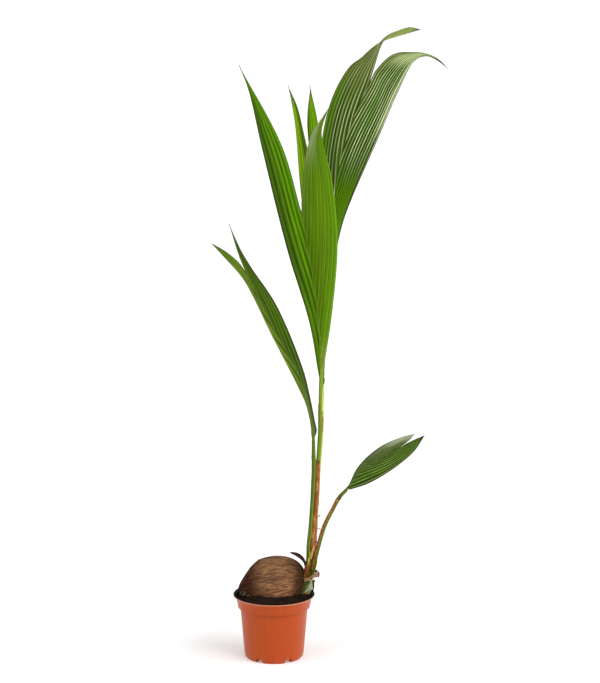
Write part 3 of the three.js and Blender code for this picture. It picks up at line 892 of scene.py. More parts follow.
def scattered_crumbs(count, top_radius):
    """Loose crumbs of compost and bark lying on the surface, clear of the wall."""
    start = add_primitive("ico_sphere", "crumb", subdivisions=1, radius=1)
    shape = vertex_places(start) * MM
    faces = [list(face.vertices) for face in start.data.polygons]
    bpy.data.objects.remove(start)
    chance = np.random.default_rng(23)
    places, corners = [], []
    for _ in range(count):
        radius = top_radius * math.sqrt(chance.uniform(0.02, 0.93))
        angle = chance.uniform(0, 2 * math.pi)
        x, y = radius * math.cos(angle), radius * math.sin(angle)
        size = chance.uniform(0.6, 2.1) * np.array([1, chance.uniform(0.5, 1), chance.uniform(0.4, 0.8)])
        turn = chance.uniform(0, math.pi)
        crumb = shape * size * chance.uniform(0.75, 1.2, shape.shape)
        turned_x = crumb[:, 0] * math.cos(turn) - crumb[:, 1] * math.sin(turn)
        turned_y = crumb[:, 0] * math.sin(turn) + crumb[:, 1] * math.cos(turn)
        height = compost_height(x, y) + 1.6
        corners += [[c + len(places) * len(shape) for c in face] for face in faces]
        places.append(np.stack([turned_x + x, turned_y + y, crumb[:, 2] + height], axis=-1))
    return mesh_piece("compost_crumbs", np.concatenate(places), corners)


# ------------------------------------------------------------------ nut


def nut_surface(directions, swell=0):
    """Places on the husk, as the nut lies, for unit directions in its own frame."""
    x, y, z = np.moveaxis(directions, -1, 0)
    around = np.arctan2(z, y)
    girth = (1 - NUT_POINT * smoothstep(-x, 0.1, 1.1)) * (1 + NUT_RIDGE * np.cos(3 * around + 0.6))
    own = np.stack([x * NUT_HALVES[0], y * NUT_HALVES[1] * girth, z * NUT_HALVES[2] * girth], axis=-1)
    own = own + unit(directions) * np.asarray(swell)[..., None]
    cos, sin = math.cos(NUT_TILT), math.sin(NUT_TILT)
    turned = np.stack(
        [own[..., 0] * cos - own[..., 2] * sin, own[..., 1], own[..., 0] * sin + own[..., 2] * cos], axis=-1
    )
    return turned + NUT_CENTRE


def fibre_direction(along, around):
    """The direction, in the nut's own frame, of a place told along the fibres and around them."""
    cos, sin = math.cos(NUT_FIBRE_TURN), math.sin(NUT_FIBRE_TURN)
    radius = np.sqrt(np.clip(1 - along * along, 0, 1))
    x, y, z = along, radius * np.cos(around), radius * np.sin(around)
    return np.stack([x * cos + z * sin, y, z * cos - x * sin], axis=-1)


def husk_relief(along, around):
    """Fibres, shallow grooves and dents, from about -1 to 1."""
    girth = 62
    ring = np.stack([along * 80, girth * np.cos(around), girth * np.sin(around)], axis=-1)
    fibres = noise(ring, (30, 2.4, 2.4), 2)
    bundles = noise(ring, (40, 7, 7), 2)
    dents = noise(ring, (26, 22, 22), 2)
    return 0.35 * fibres - 0.45 * np.abs(bundles) + 0.5 * dents


def husk_material(colours):
    """Dry coconut husk: matte bundles of fibre, dark between them and tan where they are worn, with
    painted shade at its ends and a painted highlight low on its belly.
    """
    material, tree, shader = start_material("coconut_husk_fibre", 0.85, Specular_IOR_Level=0.08)
    around, along = surface_coordinates(tree)
    ring = combined(tree, times(tree, along, 0.16), *rounded(tree, around, 60))
    fine = stretched_noise(tree, ring, (9, 1, 1), detail=4)
    bundles = stretched_noise(tree, ring, (13, 3, 3), detail=4)
    patches = stretched_noise(tree, ring, (26, 18, 18), detail=3)
    tone = mixed(tree, remap(tree, bundles, 0.34, 0.62), colours.husk_dark, colours.husk)
    worn = times(tree, remap(tree, fine, 0.5, 0.68), remap(tree, patches, 0.42, 0.62))
    tone = mixed(tree, times(tree, worn, 0.85), tone, colours.husk_light)
    tone = mixed(tree, remap(tree, fine, 0.42, 0.28, 0.0, 0.5), tone, linear("#24150f"))
    # Painted shade: its two ends, along the fibres, are darker than its belly.
    ends = maths(tree, "ABSOLUTE", maths(tree, "ADD", along, -0.52))
    tone = tinted(tree, remap(tree, ends, 0.1, 0.3), tone, (0.42, 0.34, 0.3))
    # More painted shade darkens its right and left ends.
    place = channels(tree, object_coordinates(tree))
    tone = tinted(tree, remap(tree, place[0], 0.038, 0.07), tone, (0.5, 0.45, 0.42))
    tone = tinted(tree, remap(tree, place[0], -0.028, -0.062), tone, (0.6, 0.47, 0.43))
    # A painted highlight: a lighter patch low on its belly.
    low = times(tree, remap(tree, place[2], 0.19, 0.17), remap(tree, place[2], 0.148, 0.156))
    belly = times(tree, remap(tree, place[0], -0.04, -0.01), remap(tree, place[0], 0.048, 0.034))
    tone = tinted(tree, times(tree, low, belly), tone, (1.5, 1.38, 1.36))
    paint(tree, shader, tone)
    bump(tree, shader, maths(tree, "MULTIPLY_ADD", fine, 0.6, times(tree, bundles, 0.4)), 1.2)
    return material


def fibre_material(name, hex_colour):
    """Loose coir: a stiff, dry plant fibre with a faint gloss."""
    material, tree, shader = start_material(name, 0.6, Specular_IOR_Level=0.3)
    uneven = stretched_noise(tree, object_coordinates(tree), (8, 8, 8))
    own = linear(hex_colour)
    tone = mixed(tree, remap(tree, uneven, 0.35, 0.65), shade_of(own, 0.45), own)
    paint(tree, shader, tone)
    return material


def strands(name, paths, radius, sides=3, steps=10):
    """Thin tapering strands along paths, as one piece."""
    places, corners = [], []
    ring_angles = np.linspace(0, 2 * math.pi, sides, endpoint=False)
    for path in paths:
        shares = np.linspace(0, 1, steps + 1)
        _, side, back = path.frame(shares, (0.3, -0.9, 0.3))
        width = radius * np.sqrt(np.clip(1.02 - shares**3, 0, 1))
        across, behind = (turn(ring_angles)[None, :, None] for turn in (np.cos, np.sin))
        offsets = across * side[:, None] + behind * back[:, None]
        rings = path.at(shares)[:, None] + width[:, None, None] * offsets
        first = sum(len(p) for p in places)
        for step in range(steps):
            for k in range(sides):
                here, there = first + step * sides, first + (step + 1) * sides
                corners.append([here + k, here + (k + 1) % sides, there + (k + 1) % sides, there + k])
        corners.append([first + k for k in reversed(range(sides))])
        corners.append([first + steps * sides + k for k in range(sides)])
        places.append(rings.reshape(-1, 3))
    return mesh_piece(name, np.concatenate(places), corners)


def husk_fibres(count, seed, lift):
    """Paths of fibres that lie along the husk and lift a little at one end."""
    chance = np.random.default_rng(seed)
    paths = []
    for _ in range(count):
        middle = chance.uniform(-0.85, 0.85)
        reach = chance.uniform(0.04, 0.16)
        along = np.clip(np.linspace(middle - reach, middle + reach, 6), -0.97, 0.97)
        around = chance.uniform(-math.pi, math.pi) + np.cumsum(chance.normal(0, 0.02, 6))
        rise = 0.3 + lift * chance.uniform(0, 1) * np.linspace(0, 1, 6) ** 3
        paths.append(Path(nut_surface(fibre_direction(along, around), rise)))
    return paths


def rootlets():
    """Paths of the pale rootlets that come out of the compost at the nut's left end."""
    return [
        Path([(-77, -2, 146), (-76, -5, 153), (-73, -7, 157), (-72, -8, 153)]),
        Path([(-74, -4, 146), (-72, -8, 150), (-68, -11, 152), (-67, -12, 149)]),
        Path([(-70, -8, 146), (-68, -11, 154), (-66, -11, 160)]),
        Path([(-80, 1, 146), (-79, -1, 152), (-78, -2, 156)]),
        Path([(-64, -12, 147), (-60, -15, 150), (-56, -18, 150), (-54, -19, 147)]),
    ]


class PALM_OT_nut(bpy.types.Operator):
    """Models the fibrous nut that lies on the compost, with its loose fibres"""

    bl_idname = "palm.nut"
    bl_label = "Nut"

    def execute(self, context):
        sizes, colours = context.scene.palm_sizes, context.scene.palm_colours
        relief = sizes.husk_relief / MM

        def rule(u, v):
            along = -np.cos(math.pi * v)
            around = 2 * math.pi * u
            return nut_surface(fibre_direction(along, around), relief * husk_relief(along, around))

        husk = bent_grid("husk", rule, 280, 150)
        close_tube(husk)
        finish(husk, husk_material(colours), None, "husk", "nut")
        for name, hex_colour, seed, lift in (
            ("light_coir", "#94714f", 3, 2.0), ("dark_coir", "#3a2519", 4, 3.0),
        ):
            fibres = strands(name, husk_fibres(sizes.fibres // 2, seed, lift), 0.28)
            give_materials(fibres, fibre_material(name, hex_colour))
            settle(fibres, "husk")
        roots = strands("rootlets", rootlets(), 0.5, sides=6, steps=16)
        finish(roots, fibre_material("rootlets", "#b8ad94"), None, "husk")
        return {"FINISHED"}


# ------------------------------------------------------------------ shoot, stalks and sheaths


def shoot_size(share, angle):
    """Half width and half depth of the swollen foot of the shoot, narrower where the stalks leave it."""
    bulge = np.sin(math.pi * np.minimum(1, share / 0.7)) ** 2
    narrowed = 7 * smoothstep(share, 0.52, 0.72)
    ribs = 0.18 * np.cos(17 * angle)
    return 9 + 4.5 * share + bulge + ribs - narrowed, 9 + 3 * share + bulge + ribs - narrowed


def stem_size(share, angle):
    """Half width and half depth of the stem, whose back closes in where the leaves part."""
    swell = np.sin(math.pi * np.clip((share - 0.1) / 0.3, 0, 1)) ** 2
    ribs = 0.12 * np.cos(14 * angle)
    closing = 2.4 * smoothstep(share, 0.93, 1) * (np.sin(angle) > 0)
    return 4.6 + 2 * share + 2 * swell + ribs, 4.6 + 3.2 * share + 2 * swell + ribs - closing


def stalk_left_size(share, angle):
    """Half width and half depth of the left stalk, with a shoulder below its leaf."""
    ribs = 0.1 * np.cos(12 * angle)
    foot = 0.8 * smoothstep(share, 0.2, 0.05)
    shoulder = 0.8 * smoothstep(share, 0.55, 0.75) * smoothstep(share, 0.95, 0.85)
    return 4.3 - 0.3 * share + ribs + foot + shoulder, 4.3 - 0.7 * share + ribs


def stalk_right_size(share, angle):
    """Half width and half depth of the right stalk."""
    ribs = 0.1 * np.cos(12 * angle)
    return 5.4 - 1.2 * share + ribs, 5 - 1.4 * share + ribs


STALK_SIZES = {"stem": stem_size, "stalk_left": stalk_left_size, "stalk_right": stalk_right_size}


def stalk_material(name, base, foot, pale, low_share, high_share):
    """Living leaf stalk: smooth waxy skin over lengthwise fibres, yellower towards its foot, with painted
    shade on its left side and a painted highlight on its right.
    """
    material, tree, shader = start_material(name, 0.42, Specular_IOR_Level=0.2, Specular_Tint=WAX_TINT)
    around, along = surface_coordinates(tree)
    ring = combined(tree, *rounded(tree, around, 5), times(tree, along, 0.3))
    lines = stretched_noise(tree, ring, (0.9, 0.9, 60), detail=3)
    blotches = stretched_noise(tree, ring, (4, 4, 22), detail=2)
    tone = mixed(tree, remap(tree, along, low_share, high_share), foot, base)
    tone = mixed(tree, remap(tree, lines, 0.5, 0.3, 0.0, 0.7), tone, shade_of(base, 0.5))
    tone = mixed(tree, remap(tree, blotches, 0.5, 0.75, 0.0, 0.5), tone, shade_of(base, 1.4))
    # Painted shade darkens its left side, and a painted highlight pales the side that faces the right.
    from_left = maths(tree, "PINGPONG", maths(tree, "SUBTRACT", around, 0.25), 0.5)
    tone = mixed(tree, remap(tree, from_left, 0.2, 0.1, 0.0, 0.85), tone, shade_of(base, 0.35))
    tone = mixed(tree, remap(tree, from_left, 0.28, 0.4, 0.0, 0.8), tone, pale)
    paint(tree, shader, tone)
    bump(tree, shader, lines, 0.35)
    return material


def sheath_material(name, base, dark, light, roughness=0.7, darker_foot=False):
    """Dying leaf sheath: thin papery skin, its strands showing as long dark and pale streaks."""
    material, tree, shader = start_material(name, roughness, Specular_IOR_Level=0.2)
    place = object_coordinates(tree)
    streaks = stretched_noise(tree, place, (1.2, 1.2, 24), detail=4)
    patches = stretched_noise(tree, place, (5, 5, 16), detail=3)
    tone = mixed(tree, remap(tree, streaks, 0.36, 0.58), linear(dark), linear(base))
    tone = mixed(tree, times(tree, remap(tree, patches, 0.5, 0.66), 0.7), tone, linear(light))
    if darker_foot:
        # Darker and more olive towards its foot.
        height = channels(tree, place)[2]
        tone = tinted(tree, remap(tree, height, 0.262, 0.225), tone, (0.68, 0.76, 0.34))
    paint(tree, shader, tone)
    bump(tree, shader, streaks, 0.5)
    return material


def shoot_material(name):
    """Swollen green sheath: waxy, with white streaks where its skin has split, partly a painted highlight
    on its front and right, and brown at its ends.
    """
    material, tree, shader = start_material(name, 0.4, Specular_IOR_Level=0.25, Specular_Tint=WAX_TINT)
    around, along = surface_coordinates(tree)
    place = object_coordinates(tree)
    # The split streaks climb to the right across the front.
    over, up = times(tree, around, 0.06), times(tree, along, 0.05)
    slanted = combined(tree, maths(tree, "SUBTRACT", over, up), maths(tree, "ADD", over, up))
    streaks = stretched_noise(tree, slanted, (2.2, 22, 1), detail=2)
    stains = stretched_noise(tree, place, (6, 6, 7), detail=2)
    tone = mixed(tree, remap(tree, stains, 0.4, 0.6), linear("#2b3a14"), linear("#4c5c26"))
    # The white streaks are kept to the front and the right: partly real split skin, partly a painted
    # highlight.
    beyond = maths(tree, "MULTIPLY_ADD", along, -0.35, around)
    split = times(tree, remap(tree, streaks, 0.42, 0.56, 0.15, 0.9), remap(tree, beyond, 0.3, 0.44))
    tone = mixed(tree, split, tone, linear("#bdbfa0"))
    tone = mixed(tree, remap(tree, around, 0.46, 0.34, 0.0, 0.85), tone, linear("#554c24"))
    yellowed = times(tree, remap(tree, along, 0.45, 0.2), remap(tree, around, 0.3, 0.44))
    tone = mixed(tree, times(tree, yellowed, 0.6), tone, linear("#8f9440"))
    tone = mixed(tree, remap(tree, along, 0.14, 0.06, 0.0, 0.8), tone, linear("#5a3a1e"))
    torn = times(tree, remap(tree, along, 0.84, 0.92), remap(tree, streaks, 0.38, 0.52, 0.4, 1.0))
    tone = mixed(tree, torn, tone, linear("#c39c74"))
    paint(tree, shader, tone)
    bump(tree, shader, streaks, 0.5)
    return material


class PALM_OT_shoot(bpy.types.Operator):
    """Models the swollen foot of the shoot and the torn sheath round it"""

    bl_idname = "palm.shoot"
    bl_label = "Shoot"

    def execute(self, context):
        outer = shoot_material("swollen_sheath")
        bulge = limb("shoot_foot", SHOOT, shoot_size, 96, 60)
        finish(bulge, outer, 50, "shoot", "shoot_base")
        stump = bent_grid("sheath_stump", sheath_rule(
            Path(SHOOT), shoot_size,
            angles=lambda v: (-225 + 0 * v, 45 + 0 * v),
            shares=lambda u: (
                0.08 + 0 * u,
                0.52 + 0.1 * smoothstep(u, 0.35, 0.75) + 0.015 * np.cos(9 * u + 1) + 0.012 * np.sin(31 * u),
            ),
            lift=lambda u, v: (
                1 + 1.8 * np.sin(math.pi * v) ** 2 + 1.2 * smoothstep(v, 0.8, 1) + 0.2 * np.sin(70 * u)
                + 4.5 * smoothstep(u, 0.42, 0.2) * smoothstep(v, 1, 0.6)
            ),
        ), 110, 40)
        inner = sheath_material("torn_sheath", "#8a5f3c", "#3b2114", "#caa27c")
        give_materials(stump, outer, inner)
        apply_modifier(
            stump, "SOLIDIFY", thickness=1 * MM, offset=0, material_offset=1, material_offset_rim=1
        )
        shade(stump, 50)
        settle(stump, "shoot", "sheath_stub")
        return {"FINISHED"}


class PALM_OT_stalks(bpy.types.Operator):
    """Models the stem of nested sheaths and the two free leaf stalks"""

    bl_idname = "palm.stalks"
    bl_label = "Stalks"

    def execute(self, context):
        colours = context.scene.palm_colours
        looks = {
            "stem": (colours.stalk, linear("#7a6a1c"), linear("#bcc468"), 0.05, 0.5),
            "stalk_left": (linear("#52671d"), linear("#8f5f24"), linear("#7f8c36"), 0.09, 0.2),
            "stalk_right": (linear("#5c6524"), linear("#333f10"), linear("#55701f"), 0.2, 0.4),
        }
        for node, points in STALKS.items():
            stalk = limb(f"green_{node}", points, STALK_SIZES[node], 48, 140)
            finish(stalk, stalk_material(f"green_{node}", *looks[node]), 50, "stem", node)
        return {"FINISHED"}


def strip(name, points, half_width, across, cup):
    """A dry strip, cupped across, on a path. half_width is given at each share of its length."""
    path = Path(points)
    widths = np.array(half_width, float)

    def rule(u, v):
        _, side, back = path.frame(v, across)
        spread = (2 * u - 1) * np.interp(v, np.linspace(0, 1, len(widths)), widths)
        return path.at(v) + spread[..., None] * side + (cup * (2 * u - 1) ** 2)[..., None] * back

    piece = bent_grid(name, rule, 12, 30)
    apply_modifier(piece, "SOLIDIFY", thickness=0.8 * MM, offset=0)
    return piece


def stalk_sheath(name, node, heights, angles, lift, ragged):
    """A thin old sheath round a stalk between two heights, ragged at its upper end.

    angles gives its edges at its foot and at its top.
    """
    path = Path(STALKS[node])
    low, high = np.interp(heights, path.places[:, 2], path.shares)
    (first, last), (top_first, top_last) = angles
    frayed = ragged / path.length
    piece = bent_grid(name, sheath_rule(
        path, STALK_SIZES[node],
        angles=lambda v: (first + (top_first - first) * v**2, last + (top_last - last) * v**2),
        shares=lambda u: (low + 0 * u, high + frayed * (np.sin(9 * u + 2) + 0.6 * np.sin(23 * u))),
        lift=lambda u, v: lift + 0.5 * smoothstep(v, 0.9, 1),
    ), 30, 110)
    apply_modifier(piece, "SOLIDIFY", thickness=0.5 * MM, offset=0)
    return piece


# Dry strips: name, look, path, half widths along it, direction across, and how far the edges cup back.
STRIPS = (
    ("left_bract", "dry", [(74.5, 5, 206), (74, 5, 216), (69.5, 5, 229), (56, 6, 241.5), (38, 9, 247)],
     (2.4, 2.6, 3, 4.4, 4.8, 3.6, 1), (0.7, -0.1, 0.7), -1),
    ("bract_root", "rust", [(76, 2, 198), (74.5, 2.5, 208), (73, 3.5, 220)],
     (1.5, 3, 2.6, 1), (1, 0, 0), 0.6),
    ("right_bract", "curl", [(90, -1, 190), (95.5, -2, 193), (100, -2, 197), (103.5, -1, 198)],
     (2, 4.4, 6.4, 7), (-0.3, 0, 1), -2.5),
    ("right_bract_edge", "violet", [(103.5, -2, 190), (104.8, -2, 196), (104.4, -2, 204)], (1.2, 1.8, 1.2),
     (1, 0, 0), 0.4),
    ("right_bract_top", "dry", [(96, -2, 203), (99.5, -2.5, 206), (102, -2, 205)],
     (1.2, 2, 1), (0, 0, 1), 0.4),
    ("black_rim", "black", [(90, 4, 188), (92.5, 3, 176), (91.5, 1, 161), (86, -3, 149)],
     (1, 1.8, 1.8, 1), (0.9, -0.3, 0.1), 0.6),
    ("small_curl", "dry", [(90.5, 4, 178.5), (94, 3, 180), (96, 3, 177.5)], (1.2, 1.6, 1), (0, 0.2, 1), 1),
    ("torn_rim", "salmon", [(71, -3, 186), (78, -7, 187), (85, -8, 191), (91, -6, 195), (95.5, -3, 198)],
     (0.6, 1.2, 2.2, 3, 1.4), (0, 0, 1), 0.8),
    ("torn_lip", "pink", [(69, -2, 187.5), (74, -6, 187), (80, -8.5, 187)], (0.8, 1.3, 0.5), (0, 0, 1), 0.5),
    ("torn_fold", "cream", [(85, -9, 183), (90, -9, 187), (95, -6, 192)], (0.8, 2, 1), (0, 0, 1), 0.5),
    ("olive_side", "olive", [(78, 4, 214), (80.5, 4, 224), (82.5, 5, 234), (84, 7, 250)], (1, 2.6, 2.4, 1),
     (1, 0, 0), 0.4),
    ("amber_side", "orange", [(75.5, 3, 192), (78, 3, 204), (82, 4, 214), (87, 6, 226)], (1.4, 2, 1.6, 0.6),
     (1, 0, 0), 0.4),
    ("orange_flake", "rust", [(69, -6, 150), (75, -8, 152), (81, -8, 151)], (0.8, 1.6, 0.8),
     (0, 0.5, 1), -0.5),
    ("pale_wedge", "pale", [(86, 6, 232), (88.5, 8, 243), (91.2, 10, 257)], (2, 2.8, 0.8), (1, 0, 0), 0.4),
    ("bright_wedge", "bright", [(94, 10, 249), (93.8, 9.6, 255), (93.4, 10.5, 262)],
     (0.6, 1.6, 1.8), (1, 0, 0), 0.3),
    ("torn_right", "pale", [(97, 12.5, 238), (100.5, 12, 242), (104, 15, 240)],
     (1, 1.6, 0.5), (0, 0.3, 1), 0.4),
    ("dark_strand", "dark", [(99, 11, 281), (99, 11.5, 273), (101.5, 13, 264)],
     (0.6, 0.9, 0.5), (1, 0, 0), 0.2),
    ("hook_high", "dark", [(103.5, 12.8, 331), (106.5, 12.5, 335), (108.5, 13, 332)],
     (0.9, 0.7, 0.3), (0, 0, 1), 0.2),
    ("hook_low", "orange", [(100, 12.5, 305), (106, 11.5, 303), (112, 13, 301)],
     (0.6, 0.8, 0.3), (0, 0, 1), 0.2),
    ("torn_tip", "dark", [(102, 11.8, 457), (105, 11, 464), (109.5, 14, 469)],
     (1.5, 2.2, 0.6), (-0.4, 0, 1), 0.4),
    ("side_strip", "primrose", [(113, -0.5, 583), (113.6, -1, 600), (114.2, -1.5, 622), (115, -3.4, 652)],
     (1.6, 3, 2.4, 1), (1, 0, 0), 0.4),
    ("side_hook", "dark", [(115.2, -3.4, 649), (116.4, -3.8, 658), (116.8, -4, 665)],
     (0.8, 1.2, 0.4), (1, 0, 0), 0.2),
    ("low_hook", "dark", [(113, 0, 581), (114.2, 0, 588), (115, 0, 594)], (0.6, 1.2, 0.4), (1, 0, 0), 0.2),
    ("salmon_strip", "pink", [(113.4, 3, 534), (113.8, 2.5, 553), (114.2, 2, 573)],
     (0.9, 1.4, 0.6), (1, 0, 0), 0.3),
    ("stalk_hook_left", "dark", [(150, 33.5, 371), (152, 33, 375), (151.5, 33, 380)],
     (1.3, 0.9, 0.3), (1, 0, 0), 0.2),
    ("stalk_hook_right", "dark", [(154, 35, 367), (156.5, 35, 371), (157, 35, 375)],
     (1.3, 0.9, 0.3), (1, 0, 0), 0.2),
)

STRIP_NODES = {"left_bract": ("bract_left",), "right_bract": ("bract_right",)}

# Papery sheaths: material, skin, dark streaks, pale patches, and where they need it their roughness and
# whether they grow darker towards their foot.
SHEATH_LOOKS = {
    "dry": ("dry_bract", "#341b14", "#160b09", "#5d3628"),
    "curl": ("curled_sheath", "#b5846a", "#6a4040", "#e8c6ae"),
    "black": ("black_rim", "#0a0807", "#040303", "#120d0a", 0.9),
    "orange": ("orange_sheath", "#9d6228", "#5e3212", "#c88f52", 0.7, True),
    "pale": ("pale_sheath", "#b3975a", "#7d6a24", "#dcc793"),
    "bright": ("bright_sheath", "#d99a5c", "#a35a20", "#f3d2a6"),
    "dark": ("dark_strand", "#3a1710", "#1b0907", "#5a2a1c"),
    "rust": ("rust_sheath", "#7d3f22", "#4a1f12", "#a96a3a"),
    "salmon": ("salmon_sheath", "#84683f", "#4e3018", "#b89a6e"),
    "cream": ("cream_sheath", "#b39b7c", "#7c6040", "#dccab0"),
    "violet": ("violet_edge", "#4a2a3c", "#2a1220", "#8a6474"),
    "pink": ("pink_sheath", "#c08a66", "#8a5034", "#dcae8c"),
    "olive": ("olive_skin", "#8f8a1e", "#5f6410", "#b3ab4a"),
    "primrose": ("primrose_strip", "#cdd67c", "#a8b648", "#e6ebb0"),
}


class PALM_OT_sheaths(bpy.types.Operator):
    """Adds the old sheaths on the stalks and the dry, curled strips round them"""

    bl_idname = "palm.sheaths"
    bl_label = "Sheaths"

    def execute(self, context):
        looks = {name: sheath_material(*look) for name, look in SHEATH_LOOKS.items()}
        for name, look, points, widths, across, cup in STRIPS:
            piece = strip(name, points, widths, across, cup)
            finish(piece, looks[look], 50, "dry_sheath", *STRIP_NODES.get(name, ()))
        for sheath in (
            ("stem_sheath", "stem", (184, 462), ((-190, 15), (-170, -62)), 0.5, 5),
            ("right_stalk_sheath", "stalk_right", (206, 368), ((-215, -92), (-225, -85)), 0.4, 3),
        ):
            finish(stalk_sheath(*sheath), looks["orange"], 50, "dry_sheath")
        return {"FINISHED"}


# ------------------------------------------------------------------ leaves

SEGMENTS_A_PLEAT = 6
ROWS_A_LOBE = 110
BLADE_START = 0.03  # share of the rachis below the first rib
PLEAT_SHARE = 0.16  # most that a rib stands out, of the distance between ribs

# How each lobe is coloured. Across a lobe, 0 is its left or upper margin and 1 the other one, and
# heights are above the pot's underside.
# ribs: shade, strength, half width as a share of a pleat, and from and to where across the lobe and
# at which heights they fade in.
# folds: strength of the painted shade in the valleys between the ribs; valley: its half width, as the ribs'.
# bands: shade, strength, and where each fades in, as for the ribs; some are painted shade or painted sheen.
# tip: shade and the share of the way to the tip where it begins.
ANY = (-1, -0.5)  # fades in before any place, so it shows everywhere
LOBE_LOOKS = {
    "leaf_front": (
        {
            "blade": "#578500", "shade": "#3e6500",
            "ribs": ("#6b9c06", 0.6, 0.2, (0.2, 0.5), ANY), "folds": 1.0,
            "valley": 0.3,
            "bands": [
                # The first band is painted shade on the lobe's left half, which turns away from the right
                # lamp.
                ("#335404", 0.8, (0.5, 0.15), (740, 960)), ("#4a7f02", 0.8, (0.45, 0.8), (900, 1060)),
                ("#1d2a08", 0.9, (0.07, 0.02), (700, 900)), ("#55622a", 0.6, (0.95, 1.0), (800, 900)),
            ],
            "tip": ("#2b2a1c", 0.95),
        },
        {
            "blade": "#5f8604", "shade": "#4b7204", "ribs": ("#56601c", 0.85, 0.16, ANY, ANY), "folds": 0.4,
            "bands": [
                ("#6d7a3a", 0.5, (0.2, 0.0), (900, 1000)), ("#629802", 0.6, (0.6, 0.95), (700, 760)),
                # The pale grey-green band high on the left is partly a bleached top and partly a painted
                # sheen.
                ("#9aa67c", 0.75, (0.7, 0.0), (1130, 1230)), ("#93ab40", 0.6, ANY, (780, 700)),
            ],
            "tip": ("#4a2c22", 0.93),
        },
    ),
    "leaf_back": (
        {
            "blade": "#4e6b14", "shade": "#2c430a",
            # The whitish ribs are partly a painted sheen on the ridges.
            "ribs": ("#c0ca9c", 0.92, 0.13, (0.05, 0.35), (1455, 1425)),
            "folds": 1.0, "valley": 0.26,
            "bands": [
                ("#5a8414", 0.8, (0.4, 0.15), ANY), ("#4f8004", 0.9, (0.42, 0.25), (1230, 1130)),
                ("#697436", 0.8, ANY, (1300, 1370)), ("#2d3a18", 0.7, (0.08, 0.0), (1250, 1300)),
                # The last band is painted shade in the channel along the rachis.
                ("#3f4a1c", 0.7, (0.8, 0.97), ANY),
            ],
            "tip": ("#54502f", 0.99),
        },
        {
            "blade": "#436a08", "shade": "#2a4705",
            # The whitish ribs are partly a painted sheen on the ridges.
            "ribs": ("#e8f0bc", 0.95, 0.15, (-0.5, 0.45), (1080, 1230)),
            "folds": 1.0, "valley": 0.3,
            "bands": [
                ("#568400", 0.9, ANY, (1170, 1050)), ("#5a6a1a", 0.6, (0.35, 0.1), (1000, 1100)),
                # The pale band near the right margin is a painted sheen.
                ("#d3e2aa", 0.85, (0.82, 0.9), (1190, 1250)), ("#2b3316", 0.95, (0.925, 0.95), ANY),
                # The pale band across the top is a painted sheen.
                ("#a9bd78", 0.8, (0.0, 0.3), (1360, 1390)),
            ],
            "tip": ("#3f2f22", 0.86),
        },
    ),
    "leaf_inner": (
        {
            "blade": "#8fb60a", "shade": "#5f8c06", "ribs": ("#9dbf2c", 0.5, 0.14, ANY, ANY), "folds": 0.4,
            "bands": [("#2d5207", 0.9, (0.42, 0.56), ANY)],
            "tip": ("#5b5f48", 0.9),
        },
        {
            "blade": "#72a004", "shade": "#527e04", "ribs": ("#7da51a", 0.4, 0.14, ANY, ANY), "folds": 0.3,
            "bands": [("#2f5408", 0.9, (0.2, 0.08), ANY)],
            "tip": ("#4b4f38", 0.92),
        },
    ),
    "leaf_left": (
        {
            "blade": "#4e710a", "shade": "#375306",
            "ribs": ("#6e863a", 0.5, 0.14, ANY, ANY), "folds": 1.0, "valley": 0.3,
            "bands": [("#39401c", 0.8, (0.93, 0.98), ANY), ("#73903a", 0.7, (0.12, 0.0), (940, 700))],
            "tip": ("#4d4450", 0.9),
        },
        {
            "blade": "#6c8a1a", "shade": "#536c12",
            "ribs": ("#8a9c50", 0.7, 0.14, ANY, ANY), "folds": 1.0, "valley": 0.3,
            "bands": [("#2b350f", 0.8, (0.12, 0.0), ANY), ("#93a95c", 0.75, (0.7, 1.0), (900, 760))],
            "tip": ("#4d4450", 0.9),
        },
    ),
    "leaf_right": (
        {
            "blade": "#4c611f", "shade": "#384b16", "ribs": ("#8c9c68", 0.8, 0.16, ANY, ANY), "folds": 0.8,
            "valley": 0.26,
            "bands": [
                # The pale bands, #7d8a64, #b3bc9a and #c2cbae, are painted sheen towards the upper margin
                # and the tip.
                ("#7d8a64", 0.6, (0.5, 0.2), (450, 475)), ("#b3bc9a", 0.75, (0.75, 0.35), (474, 494)),
                ("#26341a", 0.85, (0.12, 0.05), (505, 480)), ("#c2cbae", 0.6, ANY, (490, 506)),
            ],
            "tip": ("#8a7a54", 0.96),
        },
        {
            "blade": "#456512", "shade": "#2f4a0a", "ribs": ("#93ad60", 0.8, 0.16, ANY, ANY), "folds": 1.0,
            "valley": 0.26,
            "bands": [
                ("#5a800a", 0.8, (0.6, 0.2), (440, 410)), ("#222f10", 0.9, (0.88, 0.95), ANY),
            ],
            "tip": ("#2f281e", 0.86),
        },
    ),
}


BASE_RIBS = 0.1  # share of a lobe's ribs that start at its foot, before the rachis


